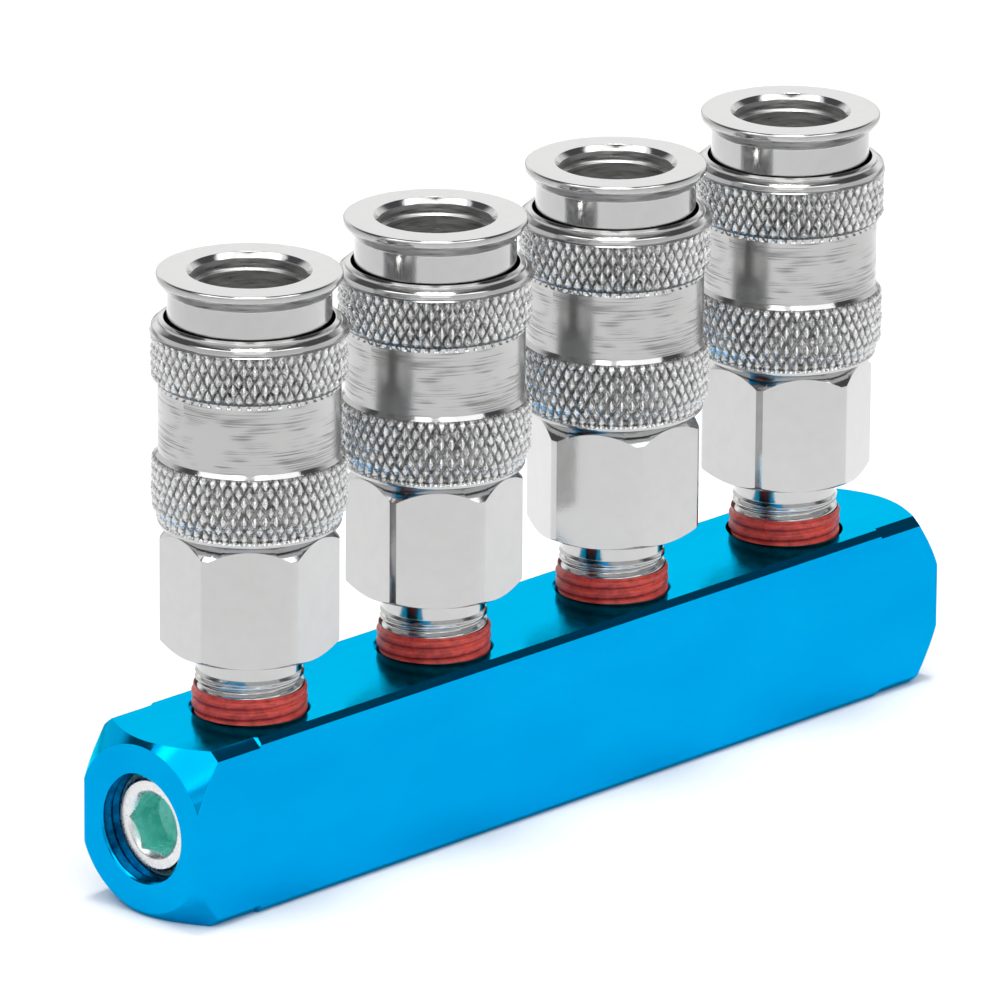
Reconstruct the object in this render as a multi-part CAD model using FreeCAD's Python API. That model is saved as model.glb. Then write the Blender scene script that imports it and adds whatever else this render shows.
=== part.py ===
import FreeCAD, Part
import math
import os

# Air manifold bar with four push-to-lock quick couplers, in millimetres.
# X runs along the bar, from the plugged end to the open inlet end. Z is up, and z = 0 is the underside.
# Every height of a coupler is chained upward from the bar's top face.

# Bar
coupler_count = 4
coupler_pitch = 31.5
end_margin = 18.25
bar_width = 19.2
bar_height = 22.0
edge_chamfer = 0.75
end_face_radius = 10.4
turned_corner_depth = 0.3
turned_length = 10.5
gallery_radius = 4.3

# Tapped ports, drawn at the thread's outer diameter
port_radius = 6.6
port_mouth_radius = 7.35
top_port_depth = 9.8
end_port_depth = 11.0
end_port_mouth_radius = 6.85
drill_step = 0.7
drill_half_angle = 59.0
thread_clearance = 0.05

# End plug
plug_length = 8.0
plug_recess = 1.9
plug_chamfer = 1.1
plug_tail_chamfer = 0.8
key_across_flats = 7.0
key_depth = 4.6
key_mouth_radius = 4.25

# Adaptor with its hexagon
thread_length = 13.9
thread_lead = 0.9
stand_off = 7.7
relief_depth = 0.25
relief_height = 2.8
hex_across_flats = 19.0
hex_corner_radius = 10.72
hex_height = 15.05
hex_lower_rim_radius = 9.4
hex_upper_rim_radius = 9.15
hex_lower_bevel_angle = 30.0
hex_upper_bevel_angle = 45.0
hex_turns = [1.5, 3.0, -12.7, 10.6]
facing_angle = -136.3
air_bore_radius = 3.8
chamber_floor_height = 3.3
chamber_floor_bevel = 0.4
collar_height = 9.0
collar_overhang = 0.3
collar_neck_depth = 0.3
foot_gap = 0.55
foot_height = 0.7
foot_clearance = 0.18
socket_depth = 8.1

# Nose, outward from the bore that the plug's tip fills
lower_bore_radius = 6.2
guide_step = 0.25
guide_ledge = 0.825
throat_step = 0.45
throat_height = 0.8
mouth_bevel = 0.57
mouth_bevel_height = 1.0
nose_undercut = 0.8
flange_overhang = 1.32
flange_cone_height = 1.45
flange_rim_height = 0.8
flange_edge_round = 0.25
spigot_step = 1.05
spigot_wall = 1.35
spigot_length = 8.0
gasket_groove_base = 6.0
gasket_groove_height = 2.2
gasket_groove_depth = 1.5
gasket_groove_wall = 1.05
gasket_clearance = 0.05
seat_ledge = 1.6
seat_thickness = 1.8

# Lock balls
ball_radius = 2.25
ball_travel = 0.9
ball_count = 3
ball_wall_gap = 0.05
ball_hole_clearance = 0.07
ball_lip = 0.35
ball_lip_length = 1.0
ball_first_angle = 43.7

# Sleeve
sleeve_travel = 3.3
sleeve_rest_gap = 0.05
sleeve_stop_gap = 0.15
guide_land_clearance = 0.08
guide_land_height = 4.1
lock_land_clearance = 0.1
recess_clearance = 0.25
recess_roof_gap = 0.15
sleeve_roof = 1.85
sleeve_mouth_gap = 0.4
sleeve_mouth_lip = 0.1
sleeve_wall = 0.86
knurl_step = 0.94
skirt_wall = 0.62
skirt_length = 9.65
shoulder_drop = 1.3
foot_taper = 0.96
foot_taper_height = 2.55
lower_knurl_height = 5.2
band_slope_height = 1.4
smooth_height = 8.0

# Springs, of square wire
sleeve_spring_wire = 0.62
sleeve_spring_turns = 3.0
valve_spring_wire = 0.8
valve_spring_turns = 4.5

# Valve and pusher
valve_travel = 6.6
valve_head_overlap = 0.8
valve_head_height = 2.0
valve_hub_gap = 0.7
valve_hub_height = 0.9
valve_cone_height = 2.9
valve_stem_radius = 2.1
valve_pilot_radius = 1.7
valve_boss_gap = 0.6
valve_boss_height = 1.0
valve_lug_clearance = 0.1
valve_lug_width = 2.6
valve_lug_count = 3
seal_clearance = 0.05
pusher_clearance = 0.1
pusher_wall = 1.4
pusher_overlap = 0.3
pusher_stop_gap = 0.3
pusher_web_height = 1.5
pusher_hub_radius = 2.9
pusher_hub_height = 2.1
pusher_arm_width = 2.2
pusher_arm_count = 3
pusher_mouth_bevel = 0.7
pusher_edge_bevel = 0.2

# Thread sealant
sealant_radius = 7.0
sealant_height = 3.05
slip_clearance = 0.03

# Radii that several pieces share
thread_radius = port_radius - thread_clearance
drill_radius = port_radius - drill_step
nose_wall = (ball_radius + ball_wall_gap) * 2 - ball_travel - lock_land_clearance
nose_radius = lower_bore_radius + nose_wall
nose_lower_radius = nose_radius - nose_undercut
socket_radius = nose_lower_radius - spigot_step
chamber_radius = socket_radius - spigot_wall
seat_hole_radius = lower_bore_radius - seat_ledge
valve_head_radius = seat_hole_radius + valve_head_overlap
valve_hub_radius = seat_hole_radius - valve_hub_gap
valve_spring_radius = valve_head_radius - valve_spring_wire
gasket_groove_radius = lower_bore_radius + gasket_groove_depth
ball_rest_radius = lower_bore_radius + ball_wall_gap + ball_radius
lock_land_radius = nose_radius + lock_land_clearance
recess_radius = ball_rest_radius + ball_radius + recess_clearance
knurl_radius = recess_radius + sleeve_wall
smooth_radius = knurl_radius - knurl_step
skirt_radius = smooth_radius - skirt_wall
foot_radius = skirt_radius - foot_clearance
collar_radius = nose_lower_radius + collar_overhang
sleeve_spring_radius = (collar_radius + skirt_radius) / 2

# Heights that several pieces share
gallery_height = bar_height / 2
hex_bottom = bar_height + stand_off
hex_top = hex_bottom + hex_height
foot_bottom = hex_top + foot_gap
spring_floor = foot_bottom + foot_height
collar_top = spring_floor + collar_height
chamber_floor = hex_bottom + chamber_floor_height
seat_bottom = collar_top - seat_thickness
groove_bottom = collar_top + gasket_groove_base
groove_top = groove_bottom + gasket_groove_height
ball_z = groove_top + gasket_groove_wall + ball_radius
land_bottom = collar_top + sleeve_rest_gap
land_top = land_bottom + guide_land_height
nose_step = land_top + sleeve_travel + sleeve_stop_gap
recess_top = ball_z + ball_radius + recess_roof_gap
sleeve_top = recess_top + sleeve_roof
sleeve_bottom = collar_top - skirt_length
nose_top = sleeve_top + sleeve_travel + sleeve_stop_gap
flange_top = nose_top + flange_cone_height + flange_rim_height
valve_head_top = seat_bottom - seal_clearance - valve_hub_height
valve_head_bottom = valve_head_top - valve_head_height
pusher_top = ball_z + pusher_overlap
pusher_bottom = collar_top + valve_travel + pusher_stop_gap
bar_length = coupler_pitch * (coupler_count - 1) + end_margin * 2
near_end = -bar_length / 2
coupler_places = [coupler_pitch * (number - (coupler_count - 1) / 2) for number in range(coupler_count)]

up = FreeCAD.Vector(0, 0, 1)
along = FreeCAD.Vector(1, 0, 0)
origin = FreeCAD.Vector(0, 0, 0)


def turned(profile):
    """Solid of revolution about Z from a closed outline of (radius, height) points."""
    corners = [FreeCAD.Vector(radius, 0, height) for radius, height in profile]
    face = Part.Face(Part.makePolygon(corners + corners[:1]))
    return face.revolve(origin, up, 360)


def turned_along_x(profile):
    """Solid of revolution about the bar's gallery axis from (distance along X, radius) points."""
    corners = [FreeCAD.Vector(distance, 0, gallery_height + radius) for distance, radius in profile]
    face = Part.Face(Part.makePolygon(corners + corners[:1]))
    return face.revolve(FreeCAD.Vector(0, 0, gallery_height), along, 360)


def upright(radius, bottom, top):
    """Plain cylinder about Z."""
    return Part.makeCylinder(radius, top - bottom, FreeCAD.Vector(0, 0, bottom))


def hexagon(across_flats, bottom, top, turn):
    """Upright hexagonal prism with one flat facing the given angle."""
    corner_radius = across_flats / 2 / math.cos(math.pi / 6)
    corners = []
    for number in range(6):
        angle = math.radians(turn + 30 + 60 * number)
        corners.append(FreeCAD.Vector(corner_radius * math.cos(angle), corner_radius * math.sin(angle), bottom))
    return Part.Face(Part.makePolygon(corners + corners[:1])).extrude(up * (top - bottom))


def around(shape, count, first_angle=0.0):
    """Copies of a shape spaced evenly around Z."""
    copies = []
    for number in range(count):
        copy = shape.copy()
        copy.rotate(origin, up, first_angle + 360.0 * number / count)
        copies.append(copy)
    return copies


def coil(mean_radius, wire, bottom, top, turns):
    """Compression spring of square wire with ground ends."""
    pitch = (top - bottom - wire) / turns
    half = wire / 2
    helix = Part.makeHelix(pitch, pitch * (turns + 1), mean_radius)
    corners = [
        FreeCAD.Vector(mean_radius + side, 0, rise)
        for side, rise in ((-half, -half), (half, -half), (half, half), (-half, half))
    ]
    section = Part.makePolygon(corners + corners[:1])
    spring = Part.Wire(helix).makePipeShell([section], True, True)
    spring.translate(up * (bottom + half - pitch / 2))
    return spring.common(upright(mean_radius + wire, bottom, top))


def make_bar():
    """Rectangular bar with turned ends, a gallery along it and tapped ports."""
    body = Part.makeBox(bar_length, bar_width, bar_height, FreeCAD.Vector(near_end, -bar_width / 2, 0))
    long_edges = [
        edge for edge in body.Edges
        if abs(edge.tangentAt(edge.FirstParameter).dot(along)) > 0.99
    ]
    body = body.makeChamfer(edge_chamfer, long_edges)
    corner_radius = math.hypot(bar_width / 2 - edge_chamfer, bar_height / 2)
    turned_radius = corner_radius - turned_corner_depth
    clear_radius = corner_radius + turned_corner_depth
    cone_length = turned_radius - end_face_radius
    run_out = clear_radius - turned_radius
    half = bar_length / 2
    outline = [(-half, 0), (-half, end_face_radius), (-half + cone_length, turned_radius)]
    outline += [(-half + turned_length, turned_radius), (-half + turned_length + run_out, clear_radius)]
    outline += [(-distance, radius) for distance, radius in reversed(outline)]
    body = body.common(turned_along_x(outline))
    drill_length = drill_radius / math.tan(math.radians(drill_half_angle))
    mouth = end_port_mouth_radius - port_radius
    end_port = [(half, 0), (half, end_port_mouth_radius), (half - mouth, port_radius)]
    end_port += [(half - end_port_depth, port_radius), (half - end_port_depth, drill_radius)]
    end_port += [(half - end_port_depth - drill_length, 0)]
    inlet = turned_along_x(end_port)
    cutters = [inlet, inlet.mirror(origin, along)]
    cutters.append(turned_along_x([(-half, 0), (-half, gallery_radius), (half, gallery_radius), (half, 0)]))
    mouth = port_mouth_radius - port_radius
    floor = bar_height - top_port_depth
    top_port = turned([
        (0, bar_height),
        (port_mouth_radius, bar_height),
        (port_radius, bar_height - mouth),
        (port_radius, floor),
        (drill_radius, floor),
        (0, floor - drill_length),
    ])
    for place in coupler_places:
        cutters.append(top_port.translated(along * place))
    return body.cut(cutters)


def make_end_plug():
    """Threaded plug with a hexagonal key socket, set back in the near end port."""
    face_radius = thread_radius - plug_chamfer
    plug = turned([
        (0, 0),
        (face_radius, 0),
        (thread_radius, -plug_chamfer),
        (thread_radius, plug_tail_chamfer - plug_length),
        (thread_radius - plug_tail_chamfer, -plug_length),
        (0, -plug_length),
    ])
    key = hexagon(key_across_flats, -key_depth, 0, 0)
    tip_radius = key_across_flats / 2
    key_tip = turned([(0, -key_depth - tip_radius / 2), (0, -key_depth), (tip_radius, -key_depth)])
    mouth_depth = key_mouth_radius - key_across_flats / 2
    key_mouth = turned([(0, 0), (key_mouth_radius, 0), (key_across_flats / 2, -mouth_depth), (0, -mouth_depth)])
    plug = plug.cut([key, key_tip, key_mouth])
    plug.rotate(origin, FreeCAD.Vector(0, 1, 0), -90)
    plug.translate(FreeCAD.Vector(near_end + plug_recess, 0, gallery_height))
    return plug


def make_adaptor(turn):
    """Threaded stem, hexagon and socket collar, bored through for the air."""
    lower_rise = (hex_corner_radius - hex_lower_rim_radius) * math.tan(math.radians(hex_lower_bevel_angle))
    upper_drop = (hex_corner_radius - hex_upper_rim_radius) * math.tan(math.radians(hex_upper_bevel_angle))
    hex_envelope = turned([
        (0, hex_bottom),
        (hex_lower_rim_radius, hex_bottom),
        (hex_corner_radius, hex_bottom + lower_rise),
        (hex_corner_radius, hex_top - upper_drop),
        (hex_upper_rim_radius, hex_top),
        (0, hex_top),
    ])
    nut = hexagon(hex_across_flats, hex_bottom, hex_top, facing_angle + turn).common(hex_envelope)
    relief_bottom = hex_bottom - relief_height
    relief_radius = thread_radius - relief_depth
    thread_bottom = relief_bottom - thread_length
    stem = turned([
        (0, thread_bottom),
        (thread_radius - thread_lead, thread_bottom),
        (thread_radius, thread_bottom + thread_lead),
        (thread_radius, relief_bottom),
        (relief_radius, relief_bottom + relief_depth),
        (relief_radius, hex_bottom),
        (0, hex_bottom),
    ])
    collar_neck_radius = collar_radius - collar_neck_depth
    collar = turned([
        (0, hex_top),
        (collar_neck_radius, hex_top),
        (collar_neck_radius, foot_bottom),
        (foot_radius, foot_bottom),
        (foot_radius, spring_floor),
        (collar_radius, spring_floor),
        (collar_radius, collar_top),
        (0, collar_top),
    ])
    socket_floor = collar_top - socket_depth
    bore = turned([
        (0, thread_bottom),
        (air_bore_radius, thread_bottom),
        (air_bore_radius, chamber_floor - chamber_floor_bevel),
        (air_bore_radius + chamber_floor_bevel, chamber_floor),
        (chamber_radius, chamber_floor),
        (chamber_radius, socket_floor),
        (socket_radius, socket_floor),
        (socket_radius, collar_top),
        (0, collar_top),
    ])
    return nut.fuse([stem, collar]).cut(bore).removeSplitter()


def make_nose():
    """Flanged tube that takes the plug, with the ball holes, the gasket groove and the valve seat."""
    spigot_radius = socket_radius - thread_clearance
    spigot_bottom = collar_top - spigot_length
    guide_radius = lower_bore_radius + guide_step
    guide_bottom = ball_z + ball_radius + guide_ledge
    throat_radius = guide_radius + throat_step
    throat_top = flange_top - mouth_bevel_height
    throat_bottom = throat_top - throat_height
    flange_radius = nose_radius + flange_overhang
    rim_bottom = nose_top + flange_cone_height
    outside = [
        (spigot_radius, spigot_bottom),
        (spigot_radius, collar_top),
        (nose_lower_radius, collar_top),
        (nose_lower_radius, nose_step),
        (nose_radius, nose_step),
        (nose_radius, nose_top),
        (flange_radius, rim_bottom),
        (flange_radius, flange_top - flange_edge_round),
        (flange_radius - flange_edge_round, flange_top),
    ]
    inside = [
        (throat_radius + mouth_bevel, flange_top),
        (throat_radius, throat_top),
        (throat_radius, throat_bottom),
        (guide_radius, throat_bottom - throat_step / 2),
        (guide_radius, guide_bottom),
        (lower_bore_radius, guide_bottom - guide_step),
        (lower_bore_radius, groove_top),
        (gasket_groove_radius, groove_top),
        (gasket_groove_radius, groove_bottom),
        (lower_bore_radius, groove_bottom),
        (lower_bore_radius, collar_top),
        (seat_hole_radius, collar_top),
        (seat_hole_radius, seat_bottom),
        (chamber_radius, seat_bottom),
        (chamber_radius, spigot_bottom),
    ]
    tube = turned(outside + inside)
    hole_radius = ball_radius + ball_hole_clearance
    lip_end = lower_bore_radius + ball_lip_length
    hole = turned([
        (0, 0),
        (ball_radius - ball_lip, 0),
        (ball_radius - ball_lip, lower_bore_radius),
        (hole_radius, lip_end),
        (hole_radius, nose_radius + ball_radius),
        (0, nose_radius + ball_radius),
    ])
    hole.rotate(origin, FreeCAD.Vector(0, 1, 0), 90)
    hole.translate(up * ball_z)
    return tube.cut(around(hole, ball_count, ball_first_angle))


def make_sleeve():
    """Locking sleeve: a spring chamber, a guide land, and a taper that drives the balls inward."""
    slope = ball_travel / sleeve_travel
    reach = (ball_radius + ball_wall_gap) * math.hypot(1, slope)
    taper_radius = ball_rest_radius + reach
    taper_bottom = ball_z - (taper_radius - lock_land_radius) / slope
    taper_top = ball_z + (recess_radius - taper_radius) / slope
    land_radius = nose_lower_radius + guide_land_clearance
    mouth_radius = nose_radius + sleeve_mouth_gap
    lip_radius = mouth_radius + sleeve_mouth_lip
    knurl_bottom = sleeve_bottom + foot_taper_height
    slope_bottom = knurl_bottom + lower_knurl_height
    smooth_bottom = slope_bottom + band_slope_height
    smooth_top = smooth_bottom + smooth_height
    outside = [
        (knurl_radius - foot_taper, sleeve_bottom),
        (knurl_radius, knurl_bottom),
        (knurl_radius, slope_bottom),
        (smooth_radius, smooth_bottom),
        (smooth_radius, smooth_top),
        (knurl_radius, smooth_top + band_slope_height),
        (knurl_radius, sleeve_top - shoulder_drop),
    ]
    inside = [
        (mouth_radius, sleeve_top),
        (mouth_radius, recess_top),
        (recess_radius, recess_top),
        (recess_radius, taper_top),
        (lock_land_radius, taper_bottom),
        (lock_land_radius, land_top),
        (land_radius, land_top),
        (land_radius, land_bottom),
        (skirt_radius, land_bottom),
        (skirt_radius, sleeve_bottom),
    ]
    corners = [FreeCAD.Vector(radius, 0, height) for radius, height in outside]
    inner_corners = [FreeCAD.Vector(radius, 0, height) for radius, height in inside]
    lip = FreeCAD.Vector(lip_radius, 0, sleeve_top)
    bulge = math.sqrt(0.5)
    middle = FreeCAD.Vector(
        lip_radius + (knurl_radius - lip_radius) * bulge,
        0,
        sleeve_top - shoulder_drop + shoulder_drop * bulge,
    )
    shoulder = Part.Arc(corners[-1], middle, lip).toShape()
    lower_edges = Part.makePolygon(corners).Edges
    upper_edges = Part.makePolygon([lip] + inner_corners + corners[:1]).Edges
    outline = Part.Wire(lower_edges + [shoulder] + upper_edges)
    return Part.Face(outline).revolve(origin, up, 360)


def make_ball(angle):
    """Lock ball at its outer place."""
    centre = FreeCAD.Vector(
        ball_rest_radius * math.cos(math.radians(angle)),
        ball_rest_radius * math.sin(math.radians(angle)),
        ball_z,
    )
    return Part.makeSphere(ball_radius, centre)


def make_valve():
    """Valve head with guide lugs, and the stem that carries the pusher."""
    hub_top = valve_head_top + valve_hub_height
    lug_radius = chamber_radius - valve_lug_clearance
    boss_radius = valve_spring_radius - valve_spring_wire / 2 - valve_boss_gap
    head = turned([
        (0, valve_head_bottom - valve_boss_height),
        (boss_radius, valve_head_bottom - valve_boss_height),
        (boss_radius, valve_head_bottom),
        (valve_head_radius, valve_head_bottom),
        (valve_head_radius, valve_head_top),
        (valve_hub_radius, valve_head_top),
        (valve_hub_radius, hub_top),
        (valve_stem_radius, hub_top + valve_cone_height),
        (valve_stem_radius, pusher_bottom),
        (valve_pilot_radius, pusher_bottom),
        (valve_pilot_radius, pusher_bottom + pusher_hub_height),
        (0, pusher_bottom + pusher_hub_height),
    ])
    lug = Part.makeBox(
        lug_radius,
        valve_lug_width,
        valve_head_height,
        FreeCAD.Vector(0, -valve_lug_width / 2, valve_head_bottom),
    )
    envelope = upright(lug_radius, valve_head_bottom, valve_head_top)
    lugs = [arm.common(envelope) for arm in around(lug, valve_lug_count)]
    return head.fuse(lugs).removeSplitter()


def make_valve_seal():
    """Flat rubber ring on the valve head."""
    inner = valve_hub_radius + slip_clearance
    return upright(valve_head_radius, valve_head_top, seat_bottom - seal_clearance).cut(
        upright(inner, valve_head_top, seat_bottom)
    )


def make_pusher():
    """Open cup on the valve stem that the plug pushes, and that holds the balls out at rest."""
    pusher_radius = lower_bore_radius - pusher_clearance
    cup_radius = pusher_radius - pusher_wall
    bevelled = pusher_radius - pusher_edge_bevel
    cup = turned([
        (cup_radius, pusher_bottom),
        (pusher_radius, pusher_bottom),
        (pusher_radius, pusher_top - pusher_edge_bevel),
        (bevelled, pusher_top),
        (cup_radius + pusher_mouth_bevel, pusher_top),
        (cup_radius, pusher_top - pusher_mouth_bevel),
    ])
    hub = upright(pusher_hub_radius, pusher_bottom, pusher_bottom + pusher_hub_height)
    arm_reach = (cup_radius + pusher_radius) / 2
    arm = Part.makeBox(
        arm_reach,
        pusher_arm_width,
        pusher_web_height,
        FreeCAD.Vector(0, -pusher_arm_width / 2, pusher_bottom),
    )
    pilot_hole = upright(valve_pilot_radius + slip_clearance, pusher_bottom, pusher_top)
    return cup.fuse([hub] + around(arm, pusher_arm_count)).cut(pilot_hole).removeSplitter()


def make_gasket():
    """Rubber lip ring that seals on the plug, in the nose's groove."""
    bottom = groove_bottom + gasket_clearance
    top = groove_top - gasket_clearance
    outer = gasket_groove_radius - gasket_clearance
    inner = lower_bore_radius - gasket_clearance
    lip = (top - bottom) / 4
    return turned([
        (outer, bottom),
        (outer, top),
        (inner + lip, top),
        (inner, top - lip),
        (inner, bottom + lip),
        (inner + lip, bottom),
    ])


def make_sealant():
    """Band of sealant on the thread, reaching down into the port's mouth."""
    inner = thread_radius + slip_clearance
    skirt = port_mouth_radius - sealant_radius
    bottom = bar_height - (port_mouth_radius - port_radius) + slip_clearance * 2
    return turned([
        (inner, bottom),
        (port_radius, bottom),
        (sealant_radius, bottom + sealant_radius - port_radius),
        (sealant_radius, bar_height + sealant_height - skirt),
        (inner, bar_height + sealant_height),
    ])


def make_coupler(number):
    """All pieces of one coupler about its own axis, by node name."""
    pieces = {
        f"adaptor_{number}": make_adaptor(hex_turns[(number - 1) % len(hex_turns)]),
        f"nose_{number}": make_nose(),
        f"sleeve_{number}": make_sleeve(),
        f"valve_{number}": make_valve(),
        f"valve_seal_{number}": make_valve_seal(),
        f"pusher_{number}": make_pusher(),
        f"gasket_{number}": make_gasket(),
        f"sealant_{number}": make_sealant(),
    }
    pieces[f"sleeve_spring_{number}"] = coil(
        sleeve_spring_radius, sleeve_spring_wire, spring_floor, land_bottom, sleeve_spring_turns
    )
    pieces[f"valve_spring_{number}"] = coil(
        valve_spring_radius, valve_spring_wire, chamber_floor, valve_head_bottom, valve_spring_turns
    )
    for ball in range(ball_count):
        letter = "abc"[ball]
        pieces[f"ball_{number}{letter}"] = make_ball(ball_first_angle + 360.0 * ball / ball_count)
    return pieces


nodes = {"bar": make_bar(), "end_plug": make_end_plug()}
for index, place in enumerate(coupler_places):
    for name, shape in make_coupler(index + 1).items():
        nodes[name] = shape.translated(along * place)

os.makedirs("parts", exist_ok=True)
for name, shape in nodes.items():
    solids = shape.Solids
    if len(solids) != 1 or not shape.isValid():
        raise ValueError(f"{name} has {len(solids)} solids, valid: {shape.isValid()}")
    solids[0].exportStep(f"parts/{name}.step")
print(f"ball travel {ball_travel:.3f}, ratio {ball_travel / sleeve_travel:.4f}, pieces {len(nodes)}")
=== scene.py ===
import logging
import math
from abc import ABC, abstractmethod
from collections.abc import Callable, Sequence
from dataclasses import dataclass, field
from enum import Enum
from functools import partial

import bmesh
import bpy
import numpy as np
from mathutils import Matrix, Vector


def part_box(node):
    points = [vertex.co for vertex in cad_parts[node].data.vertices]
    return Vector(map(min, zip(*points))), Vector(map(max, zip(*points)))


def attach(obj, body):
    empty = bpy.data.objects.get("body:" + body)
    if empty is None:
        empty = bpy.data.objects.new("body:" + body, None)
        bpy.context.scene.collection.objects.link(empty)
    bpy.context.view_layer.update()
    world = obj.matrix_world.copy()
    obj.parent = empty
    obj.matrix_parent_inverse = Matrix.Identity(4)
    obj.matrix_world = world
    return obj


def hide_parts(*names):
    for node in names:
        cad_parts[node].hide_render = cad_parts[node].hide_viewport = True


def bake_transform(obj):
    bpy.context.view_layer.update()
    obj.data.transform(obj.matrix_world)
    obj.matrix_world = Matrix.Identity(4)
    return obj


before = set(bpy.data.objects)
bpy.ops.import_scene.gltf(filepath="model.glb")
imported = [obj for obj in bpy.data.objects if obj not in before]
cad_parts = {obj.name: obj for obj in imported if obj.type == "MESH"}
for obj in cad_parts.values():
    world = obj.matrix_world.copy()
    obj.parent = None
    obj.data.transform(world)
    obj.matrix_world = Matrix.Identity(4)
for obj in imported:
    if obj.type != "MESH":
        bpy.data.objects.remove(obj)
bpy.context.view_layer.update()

# Looks of an air manifold bar with four push-to-lock quick couplers.
# Sizes are in millimetres, and become metres where a mesh is made.

MM = 0.001
# A distance too small to matter
HAIR = 0.01
# Half the angle from which a corner counts as straight
STRAIGHT = math.radians(89)
# The most of a run that one rounding takes up
LONGEST_REACH = 0.45
# Turns Z into X, X into Y and Y into Z
UPRIGHT_TO_ALONG = ((0, 0, 1, 0), (1, 0, 0, 0), (0, 1, 0, 0), (0, 0, 0, 1))
LOG = logging.getLogger("splitter")

Colour = tuple[float, float, float]
Point = tuple[float, float]
Array = np.ndarray
RadiusRule = Callable[[Array, Array, Array], Array]
Mesh = bpy.types.Mesh
Piece = bpy.types.Object
Socket = bpy.types.NodeSocket
Value = bpy.types.NodeSocket | float
Inputs = dict[str | int, object]


class Slot(Enum):
    """The record's material slots, listed beside the imported inner pieces' finishes."""

    BLUE = "blue_anodised"
    PLATED = "plated"
    ZINC = "zinc"
    BALL = "ball_steel"
    SPRING = "spring_steel"
    BRASS = "brass"
    RUBBER = "rubber"
    SEALANT = "sealant"


class Cut(Enum):
    """Ways of working one solid with another."""

    REMOVE = "DIFFERENCE"
    KEEP_COMMON = "INTERSECT"


@dataclass(frozen=True)
class Grain:
    """Settings of a noise.

    Attributes:
        scale: Grains per unit of the place.
        octaves: Layers of ever finer grains.
        fine: How strong each finer layer is.
        stretch: What the place is multiplied by first.
    """

    scale: float
    octaves: float = 3.0
    fine: float = 0.5
    stretch: tuple[float, float, float] = (1.0, 1.0, 1.0)


@dataclass(frozen=True)
class Span:
    """A range of values, from low to high."""

    low: float
    high: float


UNIT = Span(0.0, 1.0)
USUAL = Span(0.3, 0.7)
MIDDLING = Span(0.35, 0.65)


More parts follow.
